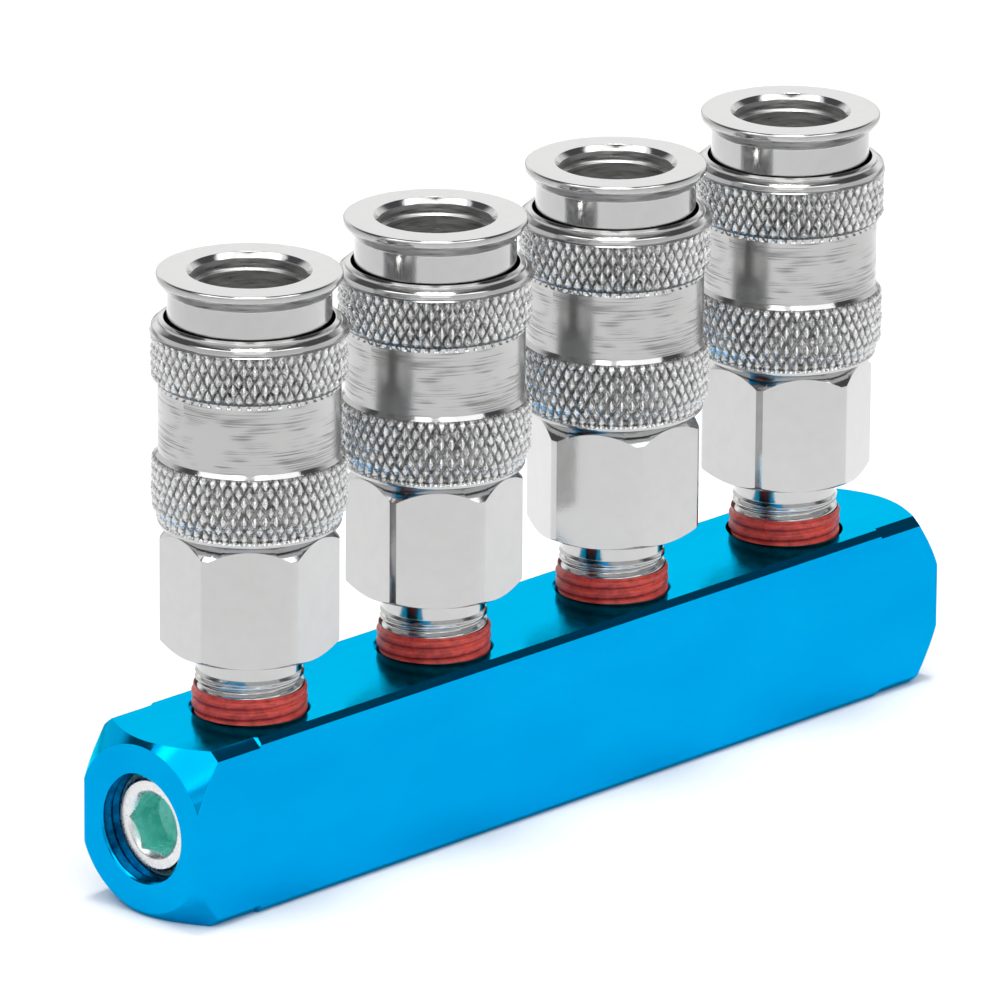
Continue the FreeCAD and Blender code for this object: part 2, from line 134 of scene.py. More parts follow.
class Sheet:
    """The node sheet of one material, with short calls for laying nodes out."""

    def __init__(self, name: str) -> None:
        """Starts a material with one surface shader.

        Args:
            name: The material's name.
        """
        self.material = bpy.data.materials.new(name)
        self.material.use_nodes = True
        self.tree = self.material.node_tree
        self.tree.nodes.clear()
        self.surface = self.node("BsdfPrincipled")
        output = self.tree.nodes.new("ShaderNodeOutputMaterial")
        self.tree.links.new(self.surface.outputs[0], output.inputs[0])

    def fill(self, socket: Socket, value: object) -> None:
        """Links a socket to another one, or sets its colour or number.

        Args:
            socket: The input to fill.
            value: A socket, a colour or a number.
        """
        if isinstance(value, Socket):
            self.tree.links.new(value, socket)
        elif isinstance(value, tuple) and len(socket.default_value) == len(value) + 1:
            socket.default_value = (*value, 1.0)
        else:
            socket.default_value = value

    def node(self, kind: str, inputs: Inputs | None = None, **settings: object) -> bpy.types.Node:
        """Adds a node.

        Args:
            kind: The node's type without its ShaderNode prefix.
            inputs: Values or sockets for its inputs, by name or number.
            settings: Attributes of the node itself.

        Returns:
            The new node.
        """
        made = self.tree.nodes.new("ShaderNode" + kind)
        for key, value in settings.items():
            setattr(made, key, value)
        for key, value in (inputs or {}).items():
            self.fill(made.inputs[key], value)
        return made

    def maths(self, operation: str, first: Value, second: Value = 0.0, third: Value = 0.0) -> Socket:
        """One sum, product or function, by Blender's name for it, of up to three numbers."""
        return self.node("Math", {0: first, 1: second, 2: third}, operation=operation).outputs[0]

    def times(self, value: Socket, factor: float) -> Socket:
        """A value multiplied by a number."""
        return self.maths("MULTIPLY", value, factor)

    def place(self) -> tuple[Socket, Socket, Socket]:
        """The point that is shaded, on the piece's own axes and in millimetres.

        Returns:
            The sockets of its x, y and z.
        """
        own = self.node("TexCoord").outputs["Object"]
        scaled = self.node("VectorMath", {0: own, "Scale": 1 / MM}, operation="SCALE").outputs[0]
        parts = self.node("SeparateXYZ", {0: scaled})
        return parts.outputs[0], parts.outputs[1], parts.outputs[2]

    def vector(self, x: Value, y: Value, z: Value) -> Socket:
        """Three numbers or sockets joined into a vector socket."""
        return self.node("CombineXYZ", {0: x, 1: y, 2: z}).outputs[0]

    def from_axis(self, x: Socket, y: Socket) -> Socket:
        """The distance from the piece's upright axis."""
        return self.maths("SQRT", self.maths("MULTIPLY_ADD", x, x, self.maths("MULTIPLY", y, y)))

    def noise(self, at: Socket, grain: Grain) -> Socket:
        """A noise.

        Args:
            at: The place, as a vector socket.
            grain: The noise's settings.

        Returns:
            The socket of its value, from about 0 to 1.
        """
        if grain.stretch != (1.0, 1.0, 1.0):
            at = self.node("VectorMath", {0: at, 1: grain.stretch}, operation="MULTIPLY").outputs[0]
        inputs = {"Vector": at, "Scale": grain.scale, "Detail": grain.octaves, "Roughness": grain.fine}
        return self.node("TexNoise", inputs).outputs["Fac"]

    def spread(self, value: Socket, old: Span, new: Span = UNIT) -> Socket:
        """A value moved from one range into another, held at the ends.

        Args:
            value: The socket to move.
            old: The range that it comes from.
            new: The range that it goes to, which may run downwards.

        Returns:
            The result's socket.
        """
        ends = {"From Min": old.low, "From Max": old.high, "To Min": new.low, "To Max": new.high}
        return self.node("MapRange", {"Value": value, **ends}).outputs[0]

    def blend(self, share: Value, first: object, second: object) -> Socket:
        """A colour between two colours.

        Args:
            share: How much of the second one there is, from 0 to 1.
            first: A colour or a socket.
            second: A colour or a socket.

        Returns:
            The colour's socket.
        """
        mix = self.node("Mix", data_type="RGBA")
        for number, value in ((0, share), (6, first), (7, second)):
            self.fill(mix.inputs[number], value)
        return mix.outputs[2]

    def relief(self, height: Socket, depth: float, under: Socket | None = None) -> Socket:
        """A bumped normal.

        Args:
            height: The relief, from 0 to 1.
            depth: Its depth in millimetres.
            under: A normal that this one adds to.

        Returns:
            The normal's socket.
        """
        inputs: Inputs = {"Height": height, "Distance": depth * MM}
        if under is not None:
            inputs["Normal"] = under
        return self.node("Bump", inputs).outputs[0]

    def set(self, **values: object) -> None:
        """Fills the surface shader's inputs, named with underscores for spaces."""
        for key, value in values.items():
            self.fill(self.surface.inputs[key.replace("_", " ")], value)


@dataclass(frozen=True)
class Finish(ABC):
    """A finish that can dress a piece, with the name of its material."""

    name: str

    def material(self) -> bpy.types.Material:
        """The finish's material, made the first time it is asked for.

        Returns:
            The material.
        """
        if self.name in bpy.data.materials:
            return bpy.data.materials[self.name]
        sheet = Sheet(self.name)
        self.lay_out(sheet)
        return sheet.material

    @abstractmethod
    def lay_out(self, sheet: Sheet) -> None:
        """Lays out the finish's nodes on a sheet."""


@dataclass(frozen=True)
class BrightPlate(Finish):
    """Bright nickel plate on turned steel, with faint turning rings and tiny specks."""

    name: str = "BrightPlate"
    pale: Colour = (0.54, 0.54, 0.535)
    deep: Colour = (0.51, 0.51, 0.505)
    roughness: Span = Span(0.07, 0.14)
    rings: Grain = Grain(5.0, octaves=4.0)
    cloud: Grain = Grain(0.5, octaves=4.0, fine=0.6)
    specks: Grain = Grain(6.0, octaves=2.0)
    relief_depth: float = 0.004

    def lay_out(self, sheet: Sheet) -> None:
        """Lays out turning rings round the axis under specks and clouds.

        Args:
            sheet: The sheet to fill.
        """
        x, y, z = sheet.place()
        body = sheet.vector(x, y, z)
        cloud = sheet.noise(body, self.cloud)
        rings = sheet.noise(sheet.vector(sheet.from_axis(x, y), z, 0.0), self.rings)
        turned_face = sheet.relief(rings, self.relief_depth)
        sheet.set(
            Base_Color=sheet.blend(sheet.spread(cloud, USUAL), self.deep, self.pale),
            Metallic=1.0,
            Roughness=sheet.spread(cloud, USUAL, self.roughness),
            Normal=sheet.relief(sheet.noise(body, self.specks), self.relief_depth, turned_face),
        )


@dataclass(frozen=True)
class KnurlPlate(Finish):
    """Nickel plate on rolled knurling, painted dark in the grooves as shade and paler on the crests as
    painted highlight.
    """

    name: str = "KnurlPlate"
    # Painted highlight: the crest colour, paler than the same plate elsewhere; the groove colour below is
    # painted shade
    pale: Colour = (0.70, 0.70, 0.695)
    groove: Colour = (0.10, 0.10, 0.098)
    crest_radius: float = 11.86
    foot_radius: float = 10.9
    foot_bottom: float = 45.35
    foot_height: float = 2.55
    groove_depth: float = 0.6
    # Painted shade: the span of depth over which the grooves darken, scattered a little by the cloud
    groove_shade_span: Span = Span(0.0, 0.5)
    groove_shade_scatter: float = 0.9
    roughness: Span = Span(0.07, 0.16)
    cloud: Grain = Grain(1.4, octaves=4.0, fine=0.6)
    burrs: Grain = Grain(2.6)
    burr_depth: float = 0.2

    def lay_out(self, sheet: Sheet) -> None:
        """Lays out a painted highlight on the crests and painted shade in the grooves, by the depth below
        the turned surface.

        Args:
            sheet: The sheet to fill.
        """
        x, y, z = sheet.place()
        foot = Span(self.foot_bottom, self.foot_bottom + self.foot_height)
        turned_radius = sheet.spread(z, foot, Span(self.foot_radius, self.crest_radius))
        above = sheet.maths("SUBTRACT", sheet.from_axis(x, y), turned_radius)
        crest = sheet.maths("MULTIPLY_ADD", above, 1 / self.groove_depth, 1.0)
        body = sheet.vector(x, y, z)
        cloud = sheet.noise(body, self.cloud)
        # Painted shade and highlight: dark deep below the turned surface, pale on the crests, scattered by
        # the cloud
        painted_light_level = sheet.maths("MULTIPLY_ADD", sheet.maths("SUBTRACT", cloud, 0.5), self.groove_shade_scatter, crest)
        sheet.set(
            Base_Color=sheet.blend(sheet.spread(painted_light_level, self.groove_shade_span), self.groove, self.pale),
            Metallic=1.0,
            Roughness=sheet.spread(cloud, USUAL, self.roughness),
            Normal=sheet.relief(sheet.noise(body, self.burrs), self.burr_depth),
        )


@dataclass(frozen=True)
class BrushedPlate(Finish):
    """Plate with short polishing streaks that run round the piece, in patches."""

    name: str = "BrushedPlate"
    pale: Colour = (0.51, 0.51, 0.505)
    deep: Colour = (0.25, 0.25, 0.245)
    tone: Span = Span(0.38, 0.52)
    roughness: Span = Span(0.26, 0.14)
    long_streaks: Grain = Grain(2.6, stretch=(0.5, 1.7, 0.0))
    fine_streaks: Grain = Grain(1.6, 2.0, stretch=(1.0, 12.0, 1.7))
    patches: Grain = Grain(1.6, 1.0, stretch=(1.5, 0.3, 4.0))
    patch_edge: Span = Span(0.4, 0.65)
    strength: Span = Span(0.2, 1.5)
    plain_level: float = 0.56
    fine_share: float = 0.35
    streak_depth: float = 0.03
    streakiness: float = 0.45

    def lay_out(self, sheet: Sheet) -> None:
        """Lays out streaks on the unrolled surface, stronger inside the patches.

        Args:
            sheet: The sheet to fill.
        """
        x, y, z = sheet.place()
        turn = sheet.maths("ARCTAN2", y, x)
        unrolled = sheet.vector(turn, z, 1.0)
        long_streaks = sheet.noise(unrolled, self.long_streaks)
        fine_streaks = sheet.noise(unrolled, self.fine_streaks)
        patches = sheet.noise(unrolled, self.patches)
        strength = sheet.spread(patches, self.patch_edge, self.strength)
        long_part = sheet.times(long_streaks, 1 - self.fine_share)
        streaks = sheet.maths("MULTIPLY_ADD", fine_streaks, self.fine_share, long_part)
        off_level = sheet.maths("SUBTRACT", streaks, self.plain_level)
        level = sheet.maths("MULTIPLY_ADD", off_level, strength, self.plain_level)
        sheet.set(
            Base_Color=sheet.blend(sheet.spread(level, self.tone), self.deep, self.pale),
            Metallic=1.0,
            Roughness=sheet.spread(level, MIDDLING, self.roughness),
            Anisotropic=self.streakiness,
            Normal=sheet.relief(level, self.streak_depth),
        )


@dataclass(frozen=True)
class ZincPlate(Finish):
    """Zinc plate on a pressed steel plug, passivated green-blue inside its key socket, with pale patches
    painted in there as reflection.
    """

    name: str = "ZincPlate"
    outside: Colour = (0.68, 0.69, 0.695)
    socket: Colour = (0.10, 0.66, 0.56)
    # Painted reflection: pale patches mixed into the socket's teal
    painted_reflection: Colour = (0.45, 0.72, 0.68)
    painted_reflection_edge: Span = Span(0.3, 0.75)
    painted_reflection_share: Span = Span(0.0, 0.35)
    face: Span = Span(0.25, 1.0)
    metal: Span = Span(1.0, 0.1)
    roughness: Span = Span(0.2, 0.34)
    cloud: Grain = Grain(0.9, octaves=4.0, fine=0.6)
    pits: Grain = Grain(3.5, octaves=4.0)
    pit_depth: float = 0.01

    def lay_out(self, sheet: Sheet) -> None:
        """Lays out the two tones by the depth behind the plug's face.

        Args:
            sheet: The sheet to fill.
        """
        x, y, z = sheet.place()
        body = sheet.vector(x, y, z)
        inside = sheet.spread(x, self.face)
        cloud = sheet.noise(body, self.cloud)
        # Painted reflection: the cloud mixes pale patches into the socket's teal
        tone = sheet.blend(sheet.spread(cloud, self.painted_reflection_edge, self.painted_reflection_share), self.socket, self.painted_reflection)
        sheet.set(
            Base_Color=sheet.blend(inside, self.outside, tone),
            Metallic=sheet.spread(inside, UNIT, self.metal),
            Roughness=sheet.spread(cloud, USUAL, self.roughness),
            Normal=sheet.relief(sheet.noise(body, self.pits), self.pit_depth),
        )


@dataclass(frozen=True)
class PaleFloor(Finish):
    """Matt white studio table."""

    name: str = "PaleFloor"
    tone: Colour = (0.95, 0.95, 0.95)
    roughness: float = 0.9
    gloss: float = 0.1

    def lay_out(self, sheet: Sheet) -> None:
        """Sets one even tone."""
        sheet.set(Base_Color=self.tone, Roughness=self.roughness, Specular_IOR_Level=self.gloss)


@dataclass(frozen=True)
class GrainedFinish(Finish):
    """A finish whose tone follows one noise, and whose relief follows another one.

    Attributes:
        deep: Colour at the low end of the tone.
        pale: Colour at its high end.
        cloud: The noise of the tone.
        roughness: Roughness at the ends of its noise's range.
        tone: The part of the cloud that lies between the colours.
        grain: The noise of the relief, where it isn't the cloud.
        depth: Depth of the relief, in millimetres, or 0 for none.
        lump_depth: Depth of the cloud's own relief under the grain's.
        rough_range: The part of its noise that the roughness spreads over.
        rough_by_grain: Whether the roughness follows the grain, and not the cloud.
        metal: 1 for a metal and 0 for anything else.
        tint: Colour of grazing reflections.
    """

    deep: Colour
    pale: Colour
    cloud: Grain
    roughness: Span
    tone: Span = USUAL
    grain: Grain | None = None
    depth: float = 0.0
    lump_depth: float = 0.0
    rough_range: Span = USUAL
    rough_by_grain: bool = False
    metal: float = 1.0
    tint: Colour = (1.0, 1.0, 1.0)

    def lay_out(self, sheet: Sheet) -> None:
        """Lays out the tone, the roughness and the relief.

        Args:
            sheet: The sheet to fill.
        """
        body = sheet.vector(*sheet.place())
        cloud = sheet.noise(body, self.cloud)
        grain = sheet.noise(body, self.grain) if self.grain else cloud
        rough = grain if self.rough_by_grain else cloud
        sheet.set(
            Base_Color=sheet.blend(sheet.spread(cloud, self.tone), self.deep, self.pale),
            Metallic=self.metal,
            Roughness=sheet.spread(rough, self.rough_range, self.roughness),
            Specular_Tint=self.tint,
        )
        if self.depth:
            lumps = sheet.relief(cloud, self.lump_depth) if self.lump_depth else None
            sheet.set(Normal=sheet.relief(grain, self.depth, lumps))


# Plate on a bored wall, duller than outside and ringed by the tool
BORED_PLATE = GrainedFinish(
    "BoredPlate", deep=(0.40, 0.40, 0.395), pale=(0.62, 0.62, 0.615), tone=Span(0.38, 0.6),
    cloud=Grain(3.2, stretch=(0.1, 0.1, 1.0)), depth=0.03, roughness=Span(0.26, 0.42),
)
# Bright blue anodised aluminium with drawing lines along the bar
BLUE_ANODISE = GrainedFinish(
    "BlueAnodise", deep=(0.0, 0.29, 0.63), pale=(0.0, 0.32, 0.66), tint=(0.0, 1.0, 1.0),
    cloud=Grain(0.12, stretch=(0.4, 1.0, 1.0)),
    grain=Grain(3.0, octaves=4.0, fine=0.6, stretch=(0.02, 1.0, 1.0)), depth=0.003,
    roughness=Span(0.12, 0.17), rough_range=MIDDLING, rough_by_grain=True,
)
# Blue anodise painted dark inside the bar's holes, as painted shade
PORT_SHADE_BLUE = GrainedFinish(
    "PortShadeBlue", deep=(0.0, 0.03, 0.10), pale=(0.0, 0.10, 0.25), tint=(0.1, 0.9, 1.0), tone=MIDDLING,
    cloud=Grain(0.8, octaves=4.0, fine=0.6), roughness=Span(0.2, 0.32),
)
# Dried red thread sealant
SEALANT_PASTE = GrainedFinish(
    "SealantPaste", deep=(0.34, 0.02, 0.014), pale=(0.66, 0.065, 0.045), tone=Span(0.3, 0.62), metal=0.0,
    cloud=Grain(0.8, octaves=4.0, fine=0.6), lump_depth=0.12,
    grain=Grain(4.0, octaves=4.0, fine=0.6), depth=0.04,
    roughness=Span(0.28, 0.45), rough_by_grain=True,
)
# Polished hard steel with cloudy wear
POLISHED_BALL = GrainedFinish(
    "PolishedBall", deep=(0.58, 0.58, 0.59), pale=(0.68, 0.68, 0.69), cloud=Grain(2.0, octaves=4.0),
    roughness=Span(0.05, 0.12),
)
# Drawn spring wire with fine marks and a little oil stain
SPRING_WIRE = GrainedFinish(
    "SpringWire", deep=(0.24, 0.22, 0.20), pale=(0.52, 0.51, 0.50), tone=Span(0.4, 0.62),
    cloud=Grain(0.7, octaves=5.0, fine=0.65), grain=Grain(1.0, stretch=(1.0, 1.0, 14.0)), depth=0.01,
    roughness=Span(0.38, 0.24),
)
# Turned brass with tool rings, a little dulled
TURNED_BRASS = GrainedFinish(
    "TurnedBrass", deep=(0.52, 0.34, 0.13), pale=(0.78, 0.57, 0.25), tone=MIDDLING,
    cloud=Grain(0.6, octaves=4.0, fine=0.6), grain=Grain(7.0, stretch=(0.0, 0.0, 1.0)), depth=0.01,
    roughness=Span(0.32, 0.18),
)
# Black moulded seal rubber with a dusty bloom
SEAL_RUBBER = GrainedFinish(
    "SealRubber", deep=(0.018, 0.018, 0.019), pale=(0.06, 0.06, 0.06), tone=Span(0.45, 0.7), metal=0.0,
    cloud=Grain(0.9, octaves=5.0, fine=0.65), grain=Grain(7.0), depth=0.01, roughness=Span(0.42, 0.62),
)


@dataclass(frozen=True)
class Corner:
    """A corner of a closed turned outline.

    Attributes:
        radius: Distance from the axis.
        height: Height along the axis.
        fillet: Radius of the rounding there.
        rows: Equal steps in the straight run that follows.
    """

    radius: float
    height: float
    fillet: float = 0.0
    rows: int = 1

    def spot(self) -> Vector:
        """The corner as a flat vector."""
        return Vector((self.radius, self.height))


def bend(last: Vector, here: Vector, following: Vector, fillet: float, steps: int) -> list[Vector]:
    """The arc that rounds one corner.

    Args:
        last: The corner before it.
        here: The corner.
        following: The corner after it.
        fillet: Radius of the rounding, which is kept shorter than the runs beside it.
        steps: Steps in the arc.

    Returns:
        The arc's points, or the corner itself where nothing is rounded.
    """
    back = last - here
    ahead = following - here
    half = back.angle(ahead) / 2
    if fillet == 0 or half > STRAIGHT:
        return [here]
    reach = min(fillet / math.tan(half), LONGEST_REACH * back.length, LONGEST_REACH * ahead.length)
    inward = (back.normalized() + ahead.normalized()).normalized()
    middle = here + inward * (reach / math.cos(half))
    first = here + back.normalized() * reach - middle
    sweep = math.copysign(math.pi - 2 * half, -first.cross(inward))
    return [middle + Matrix.Rotation(sweep * step / steps, 2) @ first for step in range(steps + 1)]


def rounded(corners: Sequence[Corner], steps: int = 4) -> list[Point]:
    """Rounds the corners of a closed outline and divides its runs.

    Args:
        corners: The outline's corners in order, up the outside and down the inside.
        steps: Steps in each rounding.

    Returns:
        The outline's points.
    """
    count = len(corners)
    bends = []
    for index, corner in enumerate(corners):
        following = corners[(index + 1) % count]
        bends.append(bend(corners[index - 1].spot(), corner.spot(), following.spot(), corner.fillet, steps))
    points: list[Vector] = []
    for index, corner in enumerate(corners):
        points += bends[index]
        begin = bends[index][-1]
        finish = bends[(index + 1) % count][0]
        points += [begin.lerp(finish, row / corner.rows) for row in range(1, corner.rows)]
    return [(point.x, point.y) for point in points]


def mesh_of(name: str, places: Sequence[Sequence[float]], faces: Sequence[Sequence[int]]) -> Mesh:
    """A mesh in metres.

    Args:
        name: Its name.
        places: Its points, in millimetres.
        faces: The numbers of each face's points.

    Returns:
        The mesh.
    """
    mesh = bpy.data.meshes.new(name)
    mesh.from_pydata([tuple(MM * number for number in place) for place in places], [], faces)
    mesh.update()
    return mesh


def turned(
    name: str,
    outline: Sequence[Point],
    columns: int,
    rule: RadiusRule | None = None,
    lean: RadiusRule | None = None,
) -> Mesh:
    """Turns a closed outline about Z into a mesh.

    Args:
        name: The mesh's name.
        outline: Points of (radius, height), up the outside and down the inside.
        columns: Steps round the axis.
        rule: Gives each point's radius from its angle, radius and height.
        lean: Gives each face's split from the same three: 1 or -1 for a triangle pair, else 0.

    Returns:
        The mesh, in metres.
    """
    rows = len(outline)
    angle = np.tile(np.arange(columns) * 2 * math.pi / columns, (rows, 1))
    radius, height = (np.repeat(np.array(part)[:, None], columns, 1) for part in zip(*outline))
    if rule is not None:
        radius = rule(angle, radius, height)
    places = np.stack([radius * np.cos(angle), radius * np.sin(angle), height], -1).reshape(-1, 3)
    near = np.arange(rows * columns).reshape(rows, columns)
    above = np.roll(near, -1, 0)
    quads = np.stack([near, np.roll(near, -1, 1), np.roll(above, -1, 1), above], -1)
    if lean is None:
        return mesh_of(name, places.tolist(), quads.reshape(-1, 4).tolist())
    half_step = math.pi / columns
    between = [(level + np.roll(level, -1, 0)) / 2 for level in (radius, height)]
    split = lean(angle + half_step, *between)
    rising = quads[split > 0]
    falling = quads[split < 0]
    faces = quads[split == 0].tolist()
    for group, triangles in ((rising, ([0, 1, 2], [0, 2, 3])), (falling, ([0, 1, 3], [1, 2, 3]))):
        for triangle in triangles:
            faces += group[:, triangle].tolist()
    return mesh_of(name, places.tolist(), faces)


def prism(name: str, corners: Sequence[Point], bottom: float, top: float) -> Mesh:
    """An upright prism on a flat outline.

    Args:
        name: The mesh's name.
        corners: The outline's (x, y) corners, anticlockwise.
        bottom: Height of its lower face.
        top: Height of its upper face.

    Returns:
        The mesh, in metres.
    """
    count = len(corners)
    places = [(x, y, level) for level in (bottom, top) for x, y in corners]
    sides = [(i, (i + 1) % count, (i + 1) % count + count, i + count) for i in range(count)]
    return mesh_of(name, places, [tuple(range(count))[::-1], tuple(range(count, 2 * count)), *sides])


def circle(radius: float, steps: int, turn: float = 0.0) -> list[Point]:
    """Points evenly round a circle, anticlockwise, starting at an angle in radians."""
    angles = [turn + 2 * math.pi * step / steps for step in range(steps)]
    return [(radius * math.cos(angle), radius * math.sin(angle)) for angle in angles]


def hexagon(across_flats: float, turn: float) -> list[Point]:
    """A hexagon's corners, with one flat facing an angle in degrees."""
    return circle(across_flats / 2 / math.cos(math.pi / 6), 6, math.radians(turn + 30))


def closed_up(mesh: Mesh, near: float = 1e-8) -> Mesh:
    """Merges the points that an outline leaves on its axis, and turns the faces outward.

    Args:
        mesh: The solid, which is changed.
        near: The distance in metres under which points are one.

    Returns:
        The same mesh.
    """
    shape = bmesh.new()
    shape.from_mesh(mesh)
    bmesh.ops.remove_doubles(shape, verts=shape.verts, dist=near)
    bmesh.ops.dissolve_degenerate(shape, edges=shape.edges, dist=near)
    bmesh.ops.delete(shape, geom=[edge for edge in shape.edges if not edge.link_faces], context="EDGES")
    bmesh.ops.recalc_face_normals(shape, faces=shape.faces)
    shape.to_mesh(mesh)
    shape.free()
    return mesh


def tool(name: str, corners: Sequence[Corner], columns: int) -> Mesh:
    """A turned solid for working another one with."""
    return closed_up(turned(name, rounded(corners), columns))


def worked(mesh: Mesh, tools: Sequence[Mesh], cut: Cut) -> Mesh:
    """Cuts or trims a solid with others.

    Args:
        mesh: The solid.
        tools: The solids to work it with, one after another.
        cut: What to do with each.

    Returns:
        The worked mesh.
    """
    body = bpy.data.objects.new("blank", mesh)
    helpers = [bpy.data.objects.new("tool", item) for item in tools]
    for item in [body, *helpers]:
        bpy.context.scene.collection.objects.link(item)
    for helper in helpers:
        modifier = body.modifiers.new("work", "BOOLEAN")
        modifier.solver = "EXACT"
        modifier.operation = cut.value
        modifier.object = helper
    made = bpy.data.meshes.new_from_object(body.evaluated_get(bpy.context.evaluated_depsgraph_get()))
    made.name = mesh.name
    for item in [body, *helpers]:
        bpy.data.objects.remove(item)
    return made


def softened(
    mesh: Mesh,
    width: float,
    angle: float = 20.0,
    chosen: Callable[[Vector], bool] | None = None,
) -> Mesh:
    """Rounds the sharp edges of a solid.

    Args:
        mesh: The solid, which is changed.
        width: Width of the rounding, in millimetres.
        angle: The least bend, in degrees, that counts as an edge.
        chosen: Says from an edge's middle, in millimetres, whether it is rounded.

    Returns:
        The same mesh.
    """
    shape = bmesh.new()
    shape.from_mesh(mesh)
    bmesh.ops.remove_doubles(shape, verts=shape.verts, dist=1e-7)
    edges = []
    for edge in shape.edges:
        if len(edge.link_faces) == 2 and edge.calc_face_angle() > math.radians(angle):
            middle = (edge.verts[0].co + edge.verts[1].co) / (2 * MM)
            if chosen is None or chosen(middle):
                edges.append(edge)
    bmesh.ops.bevel(
        shape, geom=edges, offset=width * MM, offset_type="OFFSET", segments=2, profile=0.5,
        affect="EDGES", clamp_overlap=True,
    )
    shape.to_mesh(mesh)
    shape.free()
    return mesh


@dataclass(frozen=True)
class Place:
    """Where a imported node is, read from the frame.

    Attributes:
        axis: X of the node's middle.
        bottom: Its lowest height.
        top: Its highest height.
        radius: Half its width along X.
    """

    axis: float
    bottom: float
    top: float
    radius: float

    @classmethod
    def of(cls, node: str) -> "Place":
        """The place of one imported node, in millimetres."""
        low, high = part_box(node)
        return cls((low.x + high.x) / 2 / MM, low.z / MM, high.z / MM, (high.x - low.x) / 2 / MM)

    def foot(self) -> Vector:
        """The point where the node's axis meets the table."""
        return Vector((self.axis, 0, 0))


def stand(
    name: str,
    mesh: Mesh,
    at: Vector,
    body: str | None,
    finishes: Sequence[Finish],
    node: str,
) -> Piece:
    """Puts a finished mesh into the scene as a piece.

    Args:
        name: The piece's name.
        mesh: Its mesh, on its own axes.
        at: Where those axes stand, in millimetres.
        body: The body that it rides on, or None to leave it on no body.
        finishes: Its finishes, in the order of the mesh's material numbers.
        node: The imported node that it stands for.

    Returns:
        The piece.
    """
    piece = bpy.data.objects.new(name, mesh)
    bpy.context.scene.collection.objects.link(piece)
    piece.location = at * MM
    mesh.materials.clear()
    for finish in finishes:
        mesh.materials.append(finish.material())
    mesh.polygons.foreach_set("use_smooth", np.ones(len(mesh.polygons), bool))
    if body is not None:
        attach(piece, body)
    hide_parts(node)
    LOG.info("%s: %d faces on %s", name, len(mesh.polygons), body or "two bodies")
    return piece


def even_shading(piece: Piece, sharp: float = 40.0) -> None:
    """Shades flats flat and roundings round.

    Args:
        piece: The piece, which gets a modifier.
        sharp: The bend, in degrees, from which an edge stays sharp.
    """
    piece.data.set_sharp_from_angle(angle=math.radians(sharp))
    modifier = piece.modifiers.new("even shading", "WEIGHTED_NORMAL")
    modifier.keep_sharp = True
    modifier.weight = 100


